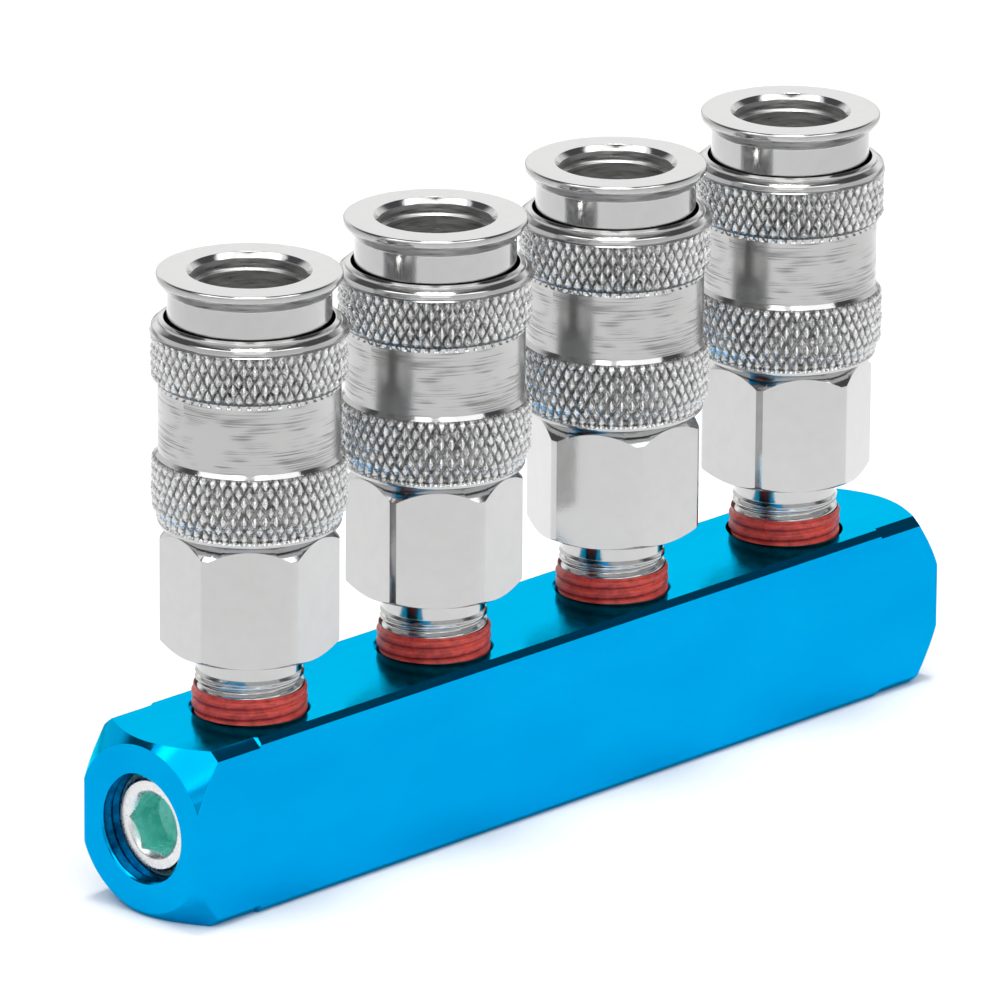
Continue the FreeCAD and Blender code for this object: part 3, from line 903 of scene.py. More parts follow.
@dataclass
class ManifoldBar:
    """The blue bar with its turned ends, gallery and tapped ports."""

    edge_chamfer: float = 0.75
    end_face_radius: float = 10.4
    corner_allowance: float = 0.3
    turned_length: float = 10.5
    gallery_radius: float = 4.3
    gallery_inset: float = 6.0
    port_radius: float = 6.6
    port_mouth_radius: float = 7.35
    top_port_depth: float = 9.8
    end_port_depth: float = 11.0
    end_port_mouth_radius: float = 6.85
    thread_pitch: float = 1.337
    thread_depth: float = 0.62
    thread_turns: int = 6
    thread_start: float = 0.05
    crest_share: float = 0.42
    root_share: float = 0.06
    port_shade_start: float = 0.3
    port_shade_margin: float = 0.1
    drill_radius: float = 5.9
    drill_cone: float = 3.5
    overshoot: float = 1.0
    edge_width: float = 0.09
    columns: int = 144

    def section(self, half_width: float, half_height: float) -> list[Point]:
        """The drawn bar's eight-cornered section, anticlockwise from its lower right.

        Args:
            half_width: Half its width.
            half_height: Half its height.

        Returns:
            The corners.
        """
        inner_width = half_width - self.edge_chamfer
        inner_height = half_height - self.edge_chamfer
        right = [(half_width, -inner_height), (half_width, inner_height), (inner_width, half_height)]
        left = [(-x, y) for x, y in reversed(right)]
        return [*right, *left, (-inner_width, -half_height), (inner_width, -half_height)]

    def turned_along(self, name: str, corners: Sequence[Corner], middle: float) -> Mesh:
        """A solid turned about an axis along X.

        Args:
            name: The mesh's name.
            corners: Corners of (radius, distance along X).
            middle: The axis's height.

        Returns:
            The mesh, in metres.
        """
        mesh = turned(name, rounded(corners), self.columns)
        mesh.transform(Matrix.Translation((0, 0, middle * MM)) @ Matrix.Rotation(math.pi / 2, 4, "Y"))
        return closed_up(mesh)

    def envelope(self, half: float, corner_radius: float) -> list[Corner]:
        """Corners of the turned shape that the bar's ends are trimmed to.

        Args:
            half: Half the bar's length.
            corner_radius: Distance of the bar's edges from its axis.

        Returns:
            Corners of (radius, distance along X).
        """
        turned_radius = corner_radius - self.corner_allowance
        clear_radius = corner_radius + self.corner_allowance
        run_out = clear_radius - turned_radius
        ends = [
            (0.0, half),
            (self.end_face_radius, half),
            (turned_radius, half - turned_radius + self.end_face_radius),
            (turned_radius, half - self.turned_length),
            (clear_radius, half - self.turned_length - run_out),
        ]
        return [Corner(*end) for end in ends] + [Corner(radius, -along) for radius, along in reversed(ends)]

    def thread(self, start: float) -> list[Corner]:
        """Corners of the thread's grooves in a port's wall.

        Args:
            start: Where the first groove starts along the port's axis.

        Returns:
            The corners, going in.
        """
        root_radius = self.port_radius + self.thread_depth
        groove = [
            (self.port_radius, self.crest_share), (root_radius, self.root_share),
            (root_radius, -self.root_share), (self.port_radius, -self.crest_share),
        ]
        roots = [start - self.thread_pitch * (turn + 0.5) for turn in range(self.thread_turns)]
        pitch = self.thread_pitch
        return [Corner(radius, root + pitch * share) for root in roots for radius, share in groove]

    def port(
        self, mouth: float, mouth_radius: float, depth: float, thread: Sequence[Corner] = ()
    ) -> list[Corner]:
        """Corners of a port from its mouth to its drilled point.

        Args:
            mouth: Where its mouth is along its axis.
            mouth_radius: Radius at the mouth, which a bevel leads down to the port's own.
            depth: Depth of its full width.
            thread: Corners of the thread in its wall.

        Returns:
            The corners.
        """
        floor = mouth - depth
        return [
            Corner(0.0, mouth + self.overshoot),
            Corner(mouth_radius + self.overshoot, mouth + self.overshoot),
            Corner(self.port_radius, mouth - (mouth_radius - self.port_radius)),
            *thread,
            Corner(self.port_radius, floor),
            Corner(self.drill_radius, floor),
            Corner(0.0, floor - self.drill_cone),
        ]

    def make(self, couplers: Sequence[Place]) -> Piece:
        """Builds the bar.

        Args:
            couplers: The places of the adaptors in its top ports.

        Returns:
            The piece.
        """
        low, high = (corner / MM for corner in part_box("bar"))
        half = high.x
        half_height = (high.z - low.z) / 2
        middle = (low.z + high.z) / 2
        blank = prism("bar", self.section(high.y, half_height), -half, half)
        blank.transform(Matrix.Translation((0, 0, middle * MM)) @ Matrix(UPRIGHT_TO_ALONG))
        corner_radius = math.hypot(high.y - self.edge_chamfer, half_height)
        envelope = self.turned_along("envelope", self.envelope(half, corner_radius), middle)
        thread = self.thread(half - (self.end_port_mouth_radius - self.port_radius) - self.thread_start)
        port = self.port(half, self.end_port_mouth_radius, self.end_port_depth, thread)
        inlet = self.turned_along("inlet", port, middle)
        inner = half - self.gallery_inset
        gallery = [(0.0, inner), (self.gallery_radius, inner), (self.gallery_radius, -inner), (0.0, -inner)]
        drill = self.turned_along("gallery", [Corner(*corner) for corner in gallery], middle)
        plugged = inlet.copy()
        plugged.transform(Matrix.Rotation(math.pi, 4, "Z"))
        well = self.port(high.z, self.port_mouth_radius, self.top_port_depth)[::-1]
        wells = []
        for coupler in couplers:
            wells.append(tool("well", well, self.columns))
            wells[-1].transform(Matrix.Translation((coupler.axis * MM, 0, 0)))
        trimmed = worked(blank, [envelope], Cut.KEEP_COMMON)
        mesh = worked(trimmed, [drill, inlet, plugged, *wells], Cut.REMOVE)
        softened(mesh, self.edge_width)
        finishes = [BLUE_ANODISE, PORT_SHADE_BLUE]
        piece = stand("manifold_bar", mesh, Vector(), "manifold", finishes, "bar")
        # Painted shade: faces inside the holes along the bar's axis, away from the end faces, get the dark
        # blue
        shaded_radius = self.port_radius + self.thread_depth + self.port_shade_margin
        for face in mesh.polygons:
            spot = face.center / MM
            from_axis = math.hypot(spot.y, spot.z - middle)
            if from_axis < shaded_radius and abs(spot.x) < half - self.port_shade_start:
                face.material_index = 1
        even_shading(piece)
        return piece


@dataclass
class EndPlug:
    """The socket plug set back in the near end port."""

    length: float = 8.0
    radius: float = 6.55
    face_chamfer: float = 1.1
    tail_chamfer: float = 0.8
    shoulder_fillet: float = 0.3
    face_fillet: float = 0.25
    key_across_flats: float = 7.0
    key_depth: float = 4.6
    key_mouth_radius: float = 4.25
    drill_clearance: float = 0.06
    drill_overlap: float = 0.5
    drill_flat: float = 0.4
    overshoot: float = 1.0
    edge_width: float = 0.1
    edge_bend: float = 20.0
    edge_reach: float = 1.3
    columns: int = 96

    def make(self) -> Piece:
        """Builds the plug on its own axis, with X pointing into the bar.

        Returns:
            The piece.
        """
        blank = tool("end_plug", [
            Corner(0.0, 0.0),
            Corner(0.0, -self.length),
            Corner(self.radius - self.tail_chamfer, -self.length),
            Corner(self.radius, self.tail_chamfer - self.length),
            Corner(self.radius, -self.face_chamfer, self.shoulder_fillet),
            Corner(self.radius - self.face_chamfer, 0.0, self.face_fillet),
        ], self.columns)
        apothem = self.key_across_flats / 2
        key = prism("key", hexagon(self.key_across_flats, 0.0), -self.key_depth, self.overshoot)
        drill_top = self.drill_overlap - self.key_depth
        drill = tool("drill", [
            Corner(0.0, -self.key_depth - apothem / 2),
            Corner(self.drill_flat, -self.key_depth - apothem / 2),
            Corner(apothem - self.drill_clearance, -self.key_depth),
            Corner(apothem - self.drill_clearance, drill_top),
            Corner(0.0, drill_top),
        ], self.columns)
        mouth = self.key_mouth_radius - apothem
        bevel = tool("bevel", [
            Corner(0.0, -mouth),
            Corner(apothem, -mouth),
            Corner(self.key_mouth_radius + self.overshoot, self.overshoot),
            Corner(0.0, self.overshoot),
        ], self.columns)
        mesh = worked(blank, [key, drill, bevel], Cut.REMOVE)
        reach = apothem * self.edge_reach
        softened(mesh, self.edge_width, self.edge_bend, lambda at: at.z > drill_top or at.xy.length > reach)
        mesh.transform(Matrix.Rotation(-math.pi / 2, 4, "Y"))
        low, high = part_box("end_plug")
        at = Vector((low.x, 0, (low.z + high.z) / 2)) / MM
        piece = stand("end_plug_socket", mesh, at, "manifold", [ZincPlate()], "end_plug")
        even_shading(piece, self.edge_bend)
        return piece


@dataclass(frozen=True)
class Levels:
    """Heights of a sleeve's parts, from its lower rim to its upper rim."""

    bottom: float
    knurl_start: float
    slope_start: float
    smooth_start: float
    smooth_end: float
    upper_start: float
    knurl_top: float
    top: float


@dataclass
class Sleeve:
    """The locking sleeve: two knurled bands with a smooth brushed band between them."""

    knurl_radius: float = 11.855
    smooth_radius: float = 10.92
    foot_radius: float = 10.9
    foot_taper_height: float = 2.55
    foot_plain: float = 0.35
    foot_fade: float = 0.3
    lower_band: float = 5.2
    slope: float = 1.4
    smooth_band: float = 8.0
    upper_band: float = 5.55
    groove_depth: float = 0.22
    groove_height: float = 0.3
    groove_flare: float = 0.06
    shoulder_radius: float = 11.0
    shoulder_drop: float = 0.36
    shoulder_rise: float = 0.42
    shoulder_taper: float = 0.24
    ledge_width: float = 0.1
    ledge_fall: float = 0.03
    rim_inset: float = 0.18
    rim_drop: float = 0.12
    lip_radius: float = 10.3
    mouth_radius: float = 10.2
    roof: float = 1.85
    recess_radius: float = 11.0
    taper_top: float = 66.832
    taper_bottom: float = 62.798
    land_top: float = 59.15
    land_bottom: float = 55.05
    lock_radius: float = 9.9
    guide_radius: float = 9.08
    skirt_radius: float = 10.3
    skirt_wall: float = 0.3
    least_wall: float = 0.2
    diamonds: int = 56
    diamond_height: float = 2.32
    knurl_depth: float = 0.6
    crest_wear: float = 0.14
    crest_share: float = 0.86
    slope_depth: float = 0.3
    splits: int = 7
    scatter: tuple[float, float, float] = (12.9898, 78.233, 43758.5453)
    knurl_shade_start: float = 0.4
    knurl_shade_inset: float = 0.5
    edge_bend: float = 24.0

    def levels(self, place: Place) -> Levels:
        """The heights of the sleeve's parts.

        Args:
            place: Where the sleeve is packed.

        Returns:
            The heights.
        """
        knurl_start = place.bottom + self.foot_taper_height
        slope_start = knurl_start + self.lower_band
        smooth_start = slope_start + self.slope
        smooth_end = smooth_start + self.smooth_band
        upper_start = smooth_end + self.slope
        knurl_top = upper_start + self.upper_band - self.groove_height
        inner = (knurl_start, slope_start, smooth_start, smooth_end, upper_start, knurl_top)
        return Levels(place.bottom, *inner, place.top)

    def crossing(self, angle: Array, height: Array) -> tuple[Array, Array]:
        """The place in the two crossing groove families, counted in grooves.

        Args:
            angle: Angles round the sleeve, in radians.
            height: Heights.

        Returns:
            The place in the falling family, and in the rising one.
        """
        round_it = angle * self.diamonds / (2 * math.pi)
        up_it = height / self.diamond_height
        return round_it + up_it, round_it - up_it

    def lattice(self, angle: Array, height: Array) -> tuple[Array, Array]:
        """Distance from the nearest groove of each family.

        Args:
            angle: Angles round the sleeve, in radians.
            height: Heights.

        Returns:
            From 0 in a falling groove to 1 midway between two, and the same for the rising ones.
        """
        falling, rising = (np.abs((count + 0.5) % 1.0 - 0.5) * 2 for count in self.crossing(angle, height))
        return falling, rising

    def wear_of(self, angle: Array, height: Array) -> Array:
        """How worn each diamond is, by a fixed scatter over the diamonds.

        Args:
            angle: Angles round the sleeve, in radians.
            height: Heights.

        Returns:
            The wear of the diamond at each point, from 0 to 1.
        """
        first, second = (np.floor(count) % self.diamonds for count in self.crossing(angle, height))
        across, along, stretch = self.scatter
        return (np.sin(first * across + second * along) * stretch) % 1.0

    def knurled(self, levels: Levels, angle: Array, radius: Array, height: Array) -> Array:
        """The radius after knurling.

        Args:
            levels: The sleeve's heights.
            angle: Angles round the sleeve.
            radius: The turned radius.
            height: Heights.

        Returns:
            The radius with the diamonds rolled in.
        """
        rise = np.minimum(np.minimum(*self.lattice(angle, height)) / self.crest_share, 1.0)
        fall = 1 - rise * (1 - self.crest_wear / self.knurl_depth * self.wear_of(angle, height))
        foot_share = np.clip((height - levels.bottom - self.foot_plain) / self.foot_fade, 0.0, 1.0)
        on_foot = height < levels.knurl_start
        upper_half = height > (levels.smooth_start + levels.smooth_end) / 2
        on_upper_slope = upper_half & (radius < self.knurl_radius - HAIR)
        foot = radius - self.knurl_depth * fall * foot_share
        band = np.minimum(radius, self.knurl_radius - self.knurl_depth * fall)
        rolled = np.where(on_foot, foot, band)
        rolled = np.where(on_upper_slope, np.minimum(rolled, radius - self.slope_depth * fall), rolled)
        raised = (radius > self.smooth_radius + 2 * HAIR) | on_foot & (radius > self.foot_radius - HAIR)
        outside = (radius > self.skirt_radius + self.skirt_wall) & (height <= levels.knurl_top - HAIR)
        return np.where(raised & outside, rolled, radius)

    def split(self, levels: Levels, angle: Array, radius: Array, height: Array) -> Array:
        """The way each face is split, so that the creases lie on the grooves.

        Args:
            levels: The sleeve's heights.
            angle: Angles of the faces' middles.
            radius: Their radii.
            height: Their heights.

        Returns:
            1 or -1 on the knurling, and 0 elsewhere.
        """
        falling, rising = self.lattice(angle, height)
        on_band = (radius > self.smooth_radius + 5 * HAIR) & (height < levels.knurl_top)
        on_foot = (height < levels.knurl_start) & (radius > self.skirt_radius + self.skirt_wall)
        return np.where(on_band | on_foot, np.where(falling < rising, -1, 1), 0)

    def rows(self, start: float, end: float) -> int:
        """Rows that a knurled run needs."""
        return max(1, round((end - start) / (self.diamond_height / self.splits)))

    def outline(self, levels: Levels) -> list[Point]:
        """The sleeve's turned outline, with a row at each step of the knurl.

        Args:
            levels: The sleeve's heights.

        Returns:
            The outline's points.
        """
        recess_top = levels.top - self.roof
        ledge = levels.top - self.shoulder_drop
        knurl_end = levels.knurl_top + self.groove_height
        foot_rows = self.rows(levels.bottom, levels.knurl_start) * 2
        lower_rows = self.rows(levels.knurl_start, levels.slope_start)
        lower_slope_rows = self.rows(levels.slope_start, levels.smooth_start) * 2
        upper_slope_rows = self.rows(levels.smooth_end, levels.upper_start) * 2
        upper_rows = self.rows(levels.upper_start, levels.knurl_top)
        return rounded([
            Corner(self.foot_radius, levels.bottom, fillet=0.12, rows=foot_rows),
            Corner(self.knurl_radius, levels.knurl_start, rows=lower_rows),
            Corner(self.knurl_radius, levels.slope_start, rows=lower_slope_rows),
            Corner(self.smooth_radius, levels.smooth_start, fillet=0.08, rows=6),
            Corner(self.smooth_radius, levels.smooth_end, fillet=0.08, rows=upper_slope_rows),
            Corner(self.knurl_radius, levels.upper_start, rows=upper_rows),
            Corner(self.knurl_radius, levels.knurl_top),
            Corner(self.knurl_radius - self.groove_depth, levels.knurl_top + self.groove_height / 2),
            Corner(self.knurl_radius - self.groove_flare, knurl_end, fillet=0.05),
            Corner(self.knurl_radius - self.shoulder_taper, ledge - self.shoulder_rise, fillet=0.3),
            Corner(self.shoulder_radius, ledge, fillet=0.12),
            Corner(self.shoulder_radius - self.ledge_width, ledge - self.ledge_fall),
            Corner(self.shoulder_radius - self.rim_inset, levels.top - self.rim_drop, fillet=0.1),
            Corner(self.lip_radius, levels.top, fillet=0.1),
            Corner(self.mouth_radius, levels.top, fillet=0.06),
            Corner(self.mouth_radius, recess_top),
            Corner(self.recess_radius, recess_top),
            Corner(self.recess_radius, self.taper_top),
            Corner(self.lock_radius, self.taper_bottom),
            Corner(self.lock_radius, self.land_top),
            Corner(self.guide_radius, self.land_top, fillet=0.1),
            Corner(self.guide_radius, self.land_bottom, fillet=0.1),
            Corner(self.skirt_radius, self.land_bottom),
            Corner(self.skirt_radius, levels.bottom, fillet=0.12),
        ])

    def finish_at(self, levels: Levels, at: Vector) -> int:
        """The number of the finish at a place: 0 for bright plate, 1 for brushed and 2 for knurled.

        Args:
            levels: The sleeve's heights.
            at: The middle of a face.

        Returns:
            The finish's number.
        """
        radius = math.hypot(at.x, at.y)
        if radius > self.smooth_radius - 10 * HAIR and levels.smooth_start < at.z < levels.smooth_end:
            return 1
        # Where the knurl finish goes, with its painted groove shade and painted crest highlight
        on_lower = levels.bottom + self.knurl_shade_start < at.z < levels.smooth_start - self.knurl_shade_inset
        on_upper = levels.smooth_end + self.knurl_shade_inset < at.z < levels.knurl_top
        raised = radius > self.smooth_radius + 5 * HAIR or at.z < levels.knurl_start
        outside = radius > self.skirt_radius + self.least_wall
        return 2 if (on_lower or on_upper) and raised and outside else 0

    def make(self, number: int) -> Piece:
        """Builds the sleeve of one coupler.

        Args:
            number: The coupler's number.

        Returns:
            The piece.
        """
        node = f"sleeve_{number}"
        place = Place.of(node)
        levels = self.levels(place)
        rules = (partial(self.knurled, levels), partial(self.split, levels))
        mesh = turned(node, self.outline(levels), self.diamonds * self.splits, *rules)
        finishes = [BrightPlate(), BrushedPlate(), KnurlPlate()]
        name = f"locking_sleeve_{number}"
        piece = stand(name, mesh, place.foot(), f"sleeve_{number}_body", finishes, node)
        for face in mesh.polygons:
            face.material_index = self.finish_at(levels, face.center / MM)
        mesh.set_sharp_from_angle(angle=math.radians(self.edge_bend))
        return piece


@dataclass
class Nose:
    """The flanged tube with the mouth, and the three ball holes behind the sleeve."""

    spigot_radius: float = 7.9
    lower_radius: float = 9.0
    step_height: float = 62.6
    radius: float = 9.8
    flange_cone: float = 1.45
    flange_rim: float = 0.8
    mouth_bevel: float = 0.57
    mouth_bevel_height: float = 0.65
    throat_radius: float = 6.9
    throat_height: float = 1.15
    throat_cone: float = 0.225
    guide_radius: float = 6.45
    guide_bottom: float = 69.575
    guide_cone: float = 0.25
    bore_radius: float = 6.2
    groove_top: float = 63.2
    groove_bottom: float = 61.0
    groove_radius: float = 7.7
    collar_top: float = 55.0
    seat_radius: float = 4.6
    seat_bottom: float = 53.2
    chamber_radius: float = 6.6
    balls: int = 3
    ball_height: float = 66.5
    ball_hole_radius: float = 2.32
    ball_lip_radius: float = 1.9
    ball_lip_length: float = 1.0
    ball_hole_start: float = 1.0
    ball_first_angle: float = 43.7
    overshoot: float = 2.0
    underside_slope: float = 0.3
    columns: int = 160
    hole_columns: int = 48

    def ball_hole(self, ball: int) -> Mesh:
        """The tool for one ball hole, lying on the nose's axes.

        Args:
            ball: The ball's number, from 0.

        Returns:
            The tool.
        """
        hole = tool("hole", [
            Corner(0.0, self.ball_hole_start),
            Corner(self.ball_lip_radius, self.ball_hole_start),
            Corner(self.ball_lip_radius, self.bore_radius),
            Corner(self.ball_hole_radius, self.bore_radius + self.ball_lip_length),
            Corner(self.ball_hole_radius, self.radius + self.overshoot),
            Corner(0.0, self.radius + self.overshoot),
        ], self.hole_columns)
        angle = math.radians(self.ball_first_angle + 360 / self.balls * ball)
        lift = Matrix.Translation((0, 0, self.ball_height * MM))
        hole.transform(lift @ Matrix.Rotation(angle, 4, "Z") @ Matrix.Rotation(math.pi / 2, 4, "Y"))
        return hole

    def make(self, number: int) -> Piece:
        """Builds the nose of one coupler.

        Args:
            number: The coupler's number.

        Returns:
            The piece.
        """
        node = f"nose_{number}"
        place = Place.of(node)
        top = place.top
        rim = top - self.flange_rim
        neck = rim - self.flange_cone
        throat = top - self.mouth_bevel_height
        throat_end = throat - self.throat_height
        blank = turned(node, rounded([
            Corner(self.spigot_radius, place.bottom, fillet=0.2),
            Corner(self.spigot_radius, self.collar_top),
            Corner(self.lower_radius, self.collar_top, fillet=0.1),
            Corner(self.lower_radius, self.step_height),
            Corner(self.radius, self.step_height, fillet=0.1),
            Corner(self.radius, neck, fillet=0.25),
            Corner(place.radius, rim, fillet=0.25),
            Corner(place.radius, top, fillet=0.32),
            Corner(self.throat_radius + self.mouth_bevel, top, fillet=0.07),
            Corner(self.throat_radius, throat, fillet=0.06),
            Corner(self.throat_radius, throat_end),
            Corner(self.guide_radius, throat_end - self.throat_cone, fillet=0.08),
            Corner(self.guide_radius, self.guide_bottom),
            Corner(self.bore_radius, self.guide_bottom - self.guide_cone),
            Corner(self.bore_radius, self.groove_top, fillet=0.08),
            Corner(self.groove_radius, self.groove_top),
            Corner(self.groove_radius, self.groove_bottom),
            Corner(self.bore_radius, self.groove_bottom, fillet=0.08),
            Corner(self.bore_radius, self.collar_top),
            Corner(self.seat_radius, self.collar_top, fillet=0.2),
            Corner(self.seat_radius, self.seat_bottom),
            Corner(self.chamber_radius, self.seat_bottom),
            Corner(self.chamber_radius, place.bottom, fillet=0.1),
        ]), self.columns)
        mesh = worked(blank, [self.ball_hole(ball) for ball in range(self.balls)], Cut.REMOVE)
        name = f"coupler_nose_{number}"
        piece = stand(name, mesh, place.foot(), "manifold", [BrightPlate(), BORED_PLATE], node)
        for face in mesh.polygons:
            at = face.center / MM
            in_bore = at.xy.length < self.throat_radius + 2 * HAIR and at.z > self.collar_top
            under_flange = face.normal.z < -self.underside_slope and at.z > neck - 5 * HAIR
            face.material_index = int(in_bore or under_flange)
        even_shading(piece)
        return piece


@dataclass
class Adaptor:
    """The threaded stem with its hexagon and the socket collar under the sleeve."""

    thread_radius: float = 6.55
    thread_depth: float = 0.62
    thread_pitch: float = 1.337
    thread_length: float = 13.9
    thread_lead: float = 0.9
    thread_row: float = 0.12
    root_share: float = 0.12
    flank_share: float = 0.72
    run_out: float = 0.3
    relief_radius: float = 6.3
    relief_height: float = 2.8
    relief_lead: float = 0.1
    relief_cone: float = 0.25
    hex_across_flats: float = 19.0
    hex_corner_radius: float = 10.72
    hex_height: float = 15.05
    lower_rim_radius: float = 9.4
    upper_rim_radius: float = 9.15
    lower_bevel_angle: float = 30.0
    collar_radius: float = 9.3
    collar_neck_radius: float = 9.0
    foot_gap: float = 0.55
    foot_height: float = 0.7
    foot_radius: float = 10.12
    air_bore_radius: float = 3.8
    chamber_radius: float = 6.6
    chamber_floor: float = 33.0
    socket_radius: float = 7.95
    socket_floor: float = 46.9
    ring_radius: float = 14.0
    ring_steps: int = 96
    ring_drop: float = 0.3
    ring_rise: float = 0.25
    overshoot: float = 1.0
    edge_width: float = 0.2
    edge_bend: float = 9.0
    sharp_bend: float = 60.0
    columns: int = 160

    def threaded(self, relief: float, angle: Array, radius: Array, height: Array) -> Array:
        """The radius after threading.

        Args:
            relief: Height where the thread ends.
            angle: Angles round the stem.
            radius: The turned radius.
            height: Heights.

        Returns:
            The radius with the thread cut in.
        """
        turns = height / self.thread_pitch - angle / (2 * math.pi)
        wave = np.abs((turns % 1.0) * 2 - 1)
        rise = np.clip((wave - self.root_share) / self.flank_share, 0.0, 1.0)
        fade = np.clip((relief - self.relief_lead - height) / self.run_out, 0.0, 1.0)
        on_thread = (radius < self.thread_radius + HAIR) & (height < relief)
        outside = radius > self.relief_radius - self.thread_depth - 8 * HAIR
        cut = np.minimum(radius, self.thread_radius - self.thread_depth * (1 - rise) * fade)
        return np.where(on_thread & outside, cut, radius)

    def hex_turn(self, node: str, axis: float) -> float:
        """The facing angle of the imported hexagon's flats.

        Args:
            node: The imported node.
            axis: X of the coupler's axis.

        Returns:
            An angle in degrees that one flat faces.
        """
        total = 0j
        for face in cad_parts[node].data.polygons:
            at = face.center / MM
            reach = (at.x - axis) * face.normal.x + at.y * face.normal.y
            if abs(face.normal.z) < HAIR and abs(reach - self.hex_across_flats / 2) < HAIR:
                facing = math.atan2(face.normal.y, face.normal.x)
                total += face.area * complex(math.cos(6 * facing), math.sin(6 * facing))
        return math.degrees(math.atan2(total.imag, total.real)) / 6

    def make(self, number: int) -> Piece:
        """Builds the adaptor of one coupler.

        Args:
            number: The coupler's number.

        Returns:
            The piece.
        """
        node = f"adaptor_{number}"
        place = Place.of(node)
        bottom = place.bottom
        relief = bottom + self.thread_length
        hex_bottom = relief + self.relief_height
        hex_top = hex_bottom + self.hex_height
        foot = hex_top + self.foot_gap
        spring_floor = foot + self.foot_height
        bevel_slope = math.tan(math.radians(self.lower_bevel_angle))
        rise = (self.hex_corner_radius - self.lower_rim_radius) * bevel_slope
        drop = self.hex_corner_radius - self.upper_rim_radius
        thread_rows = round(self.thread_length / self.thread_row)
        blank = turned(node, rounded([
            Corner(self.thread_radius - self.thread_lead, bottom),
            Corner(self.thread_radius, bottom + self.thread_lead, rows=thread_rows),
            Corner(self.thread_radius, relief - self.relief_lead),
            Corner(self.relief_radius, relief + self.relief_cone, fillet=0.12),
            Corner(self.relief_radius, hex_bottom, fillet=0.15),
            Corner(self.lower_rim_radius, hex_bottom, fillet=0.12),
            Corner(self.hex_corner_radius, hex_bottom + rise, fillet=0.2),
            Corner(self.hex_corner_radius, hex_top - drop, fillet=0.2),
            Corner(self.upper_rim_radius, hex_top, fillet=0.1),
            Corner(self.collar_neck_radius, hex_top),
            Corner(self.collar_neck_radius, foot),
            Corner(self.foot_radius, foot, fillet=0.1),
            Corner(self.foot_radius, spring_floor, fillet=0.1),
            Corner(self.collar_radius, spring_floor),
            Corner(self.collar_radius, place.top, fillet=0.15),
            Corner(self.socket_radius, place.top, fillet=0.15),
            Corner(self.socket_radius, self.socket_floor),
            Corner(self.chamber_radius, self.socket_floor),
            Corner(self.chamber_radius, self.chamber_floor),
            Corner(self.air_bore_radius, self.chamber_floor, fillet=0.2),
            Corner(self.air_bore_radius, bottom, fillet=0.2),
        ], 3), self.columns, partial(self.threaded, relief))
        around = circle(self.ring_radius, self.ring_steps)
        ring = prism("flats", around, hex_bottom - self.ring_drop, hex_top + self.ring_rise)
        outline = hexagon(self.hex_across_flats, self.hex_turn(node, place.axis))
        hole = prism("hole", outline, hex_bottom - self.overshoot, hex_top + self.overshoot)
        mesh = worked(closed_up(blank), [worked(ring, [hole], Cut.REMOVE)], Cut.REMOVE)

        def on_hexagon(at: Vector) -> bool:
            """Whether a place is on the hexagon's outside."""
            reach = self.upper_rim_radius - 10 * HAIR
            return hex_bottom - HAIR < at.z < hex_top + HAIR and math.hypot(at.x, at.y) > reach

        softened(mesh, self.edge_width, self.edge_bend, on_hexagon)
        name = f"hex_adaptor_{number}"
        piece = stand(name, mesh, place.foot(), "manifold", [BrightPlate()], node)
        even_shading(piece, self.sharp_bend)
        return piece


@dataclass
class SealantBand:
    """Red thread sealant squeezed up out of the port, with the thread's ridges showing through."""

    port_radius: float = 6.6
    inner_radius: float = 6.58
    lip_width: float = 0.12
    lip_drop: float = 0.05
    edge_drop: float = 0.3
    ridge_pitch: float = 1.337
    ridge_depth: float = 0.5
    ridge_sharpness: int = 3
    unevenness: float = 0.1
    wide_waves: int = 3
    middle_waves: int = 7
    narrow_waves: int = 13
    middle_share: float = 0.6
    narrow_share: float = 0.4
    middle_shift: float = 2.1
    narrow_slant: float = 3.0
    shift: float = 1.7
    rows: int = 36
    columns: int = 144

    def ridged(self, shift: float, angle: Array, radius: Array, height: Array) -> Array:
        """The radius of the ridged paste.

        Args:
            shift: Shifts the unevenness round the stem.
            angle: Angles round the stem.
            radius: The band's radius.
            height: Heights.

        Returns:
            The uneven radius.
        """
        turns = height / self.ridge_pitch - angle / (2 * math.pi)
        groove = (0.5 + 0.5 * np.cos(turns * 2 * math.pi)) ** self.ridge_sharpness
        wide_wave = np.sin(self.wide_waves * angle + shift)
        middle_angle = self.middle_waves * angle + self.middle_shift * shift + height
        middle_wave = self.middle_share * np.sin(middle_angle)
        narrow_angle = self.narrow_waves * angle - self.narrow_slant * height
        narrow_wave = self.narrow_share * np.sin(narrow_angle)
        uneven = self.unevenness * ((wide_wave + middle_wave + narrow_wave) / 2 - 1.0) * 0.5
        paste = np.maximum(radius - self.ridge_depth * groove + uneven, self.inner_radius + 2 * HAIR)
        return np.where(radius > self.port_radius + 10 * HAIR, paste, radius)

    def make(self, number: int) -> Piece:
        """Builds the sealant of one coupler.

        Args:
            number: The coupler's number.

        Returns:
            The piece.
        """
        node = f"sealant_{number}"
        place = Place.of(node)
        outer = place.radius
        mesh = turned(node, rounded([
            Corner(self.inner_radius, place.bottom),
            Corner(self.port_radius, place.bottom),
            Corner(outer, place.bottom + outer - self.port_radius, rows=self.rows),
            Corner(outer, place.top - self.edge_drop, fillet=0.2),
            Corner(self.inner_radius + self.lip_width, place.top, fillet=0.1),
            Corner(self.inner_radius, place.top - self.lip_drop),
        ]), self.columns, partial(self.ridged, self.shift * number))
        name = f"sealant_band_{number}"
        return stand(name, mesh, place.foot(), "manifold", [SEALANT_PASTE], node)


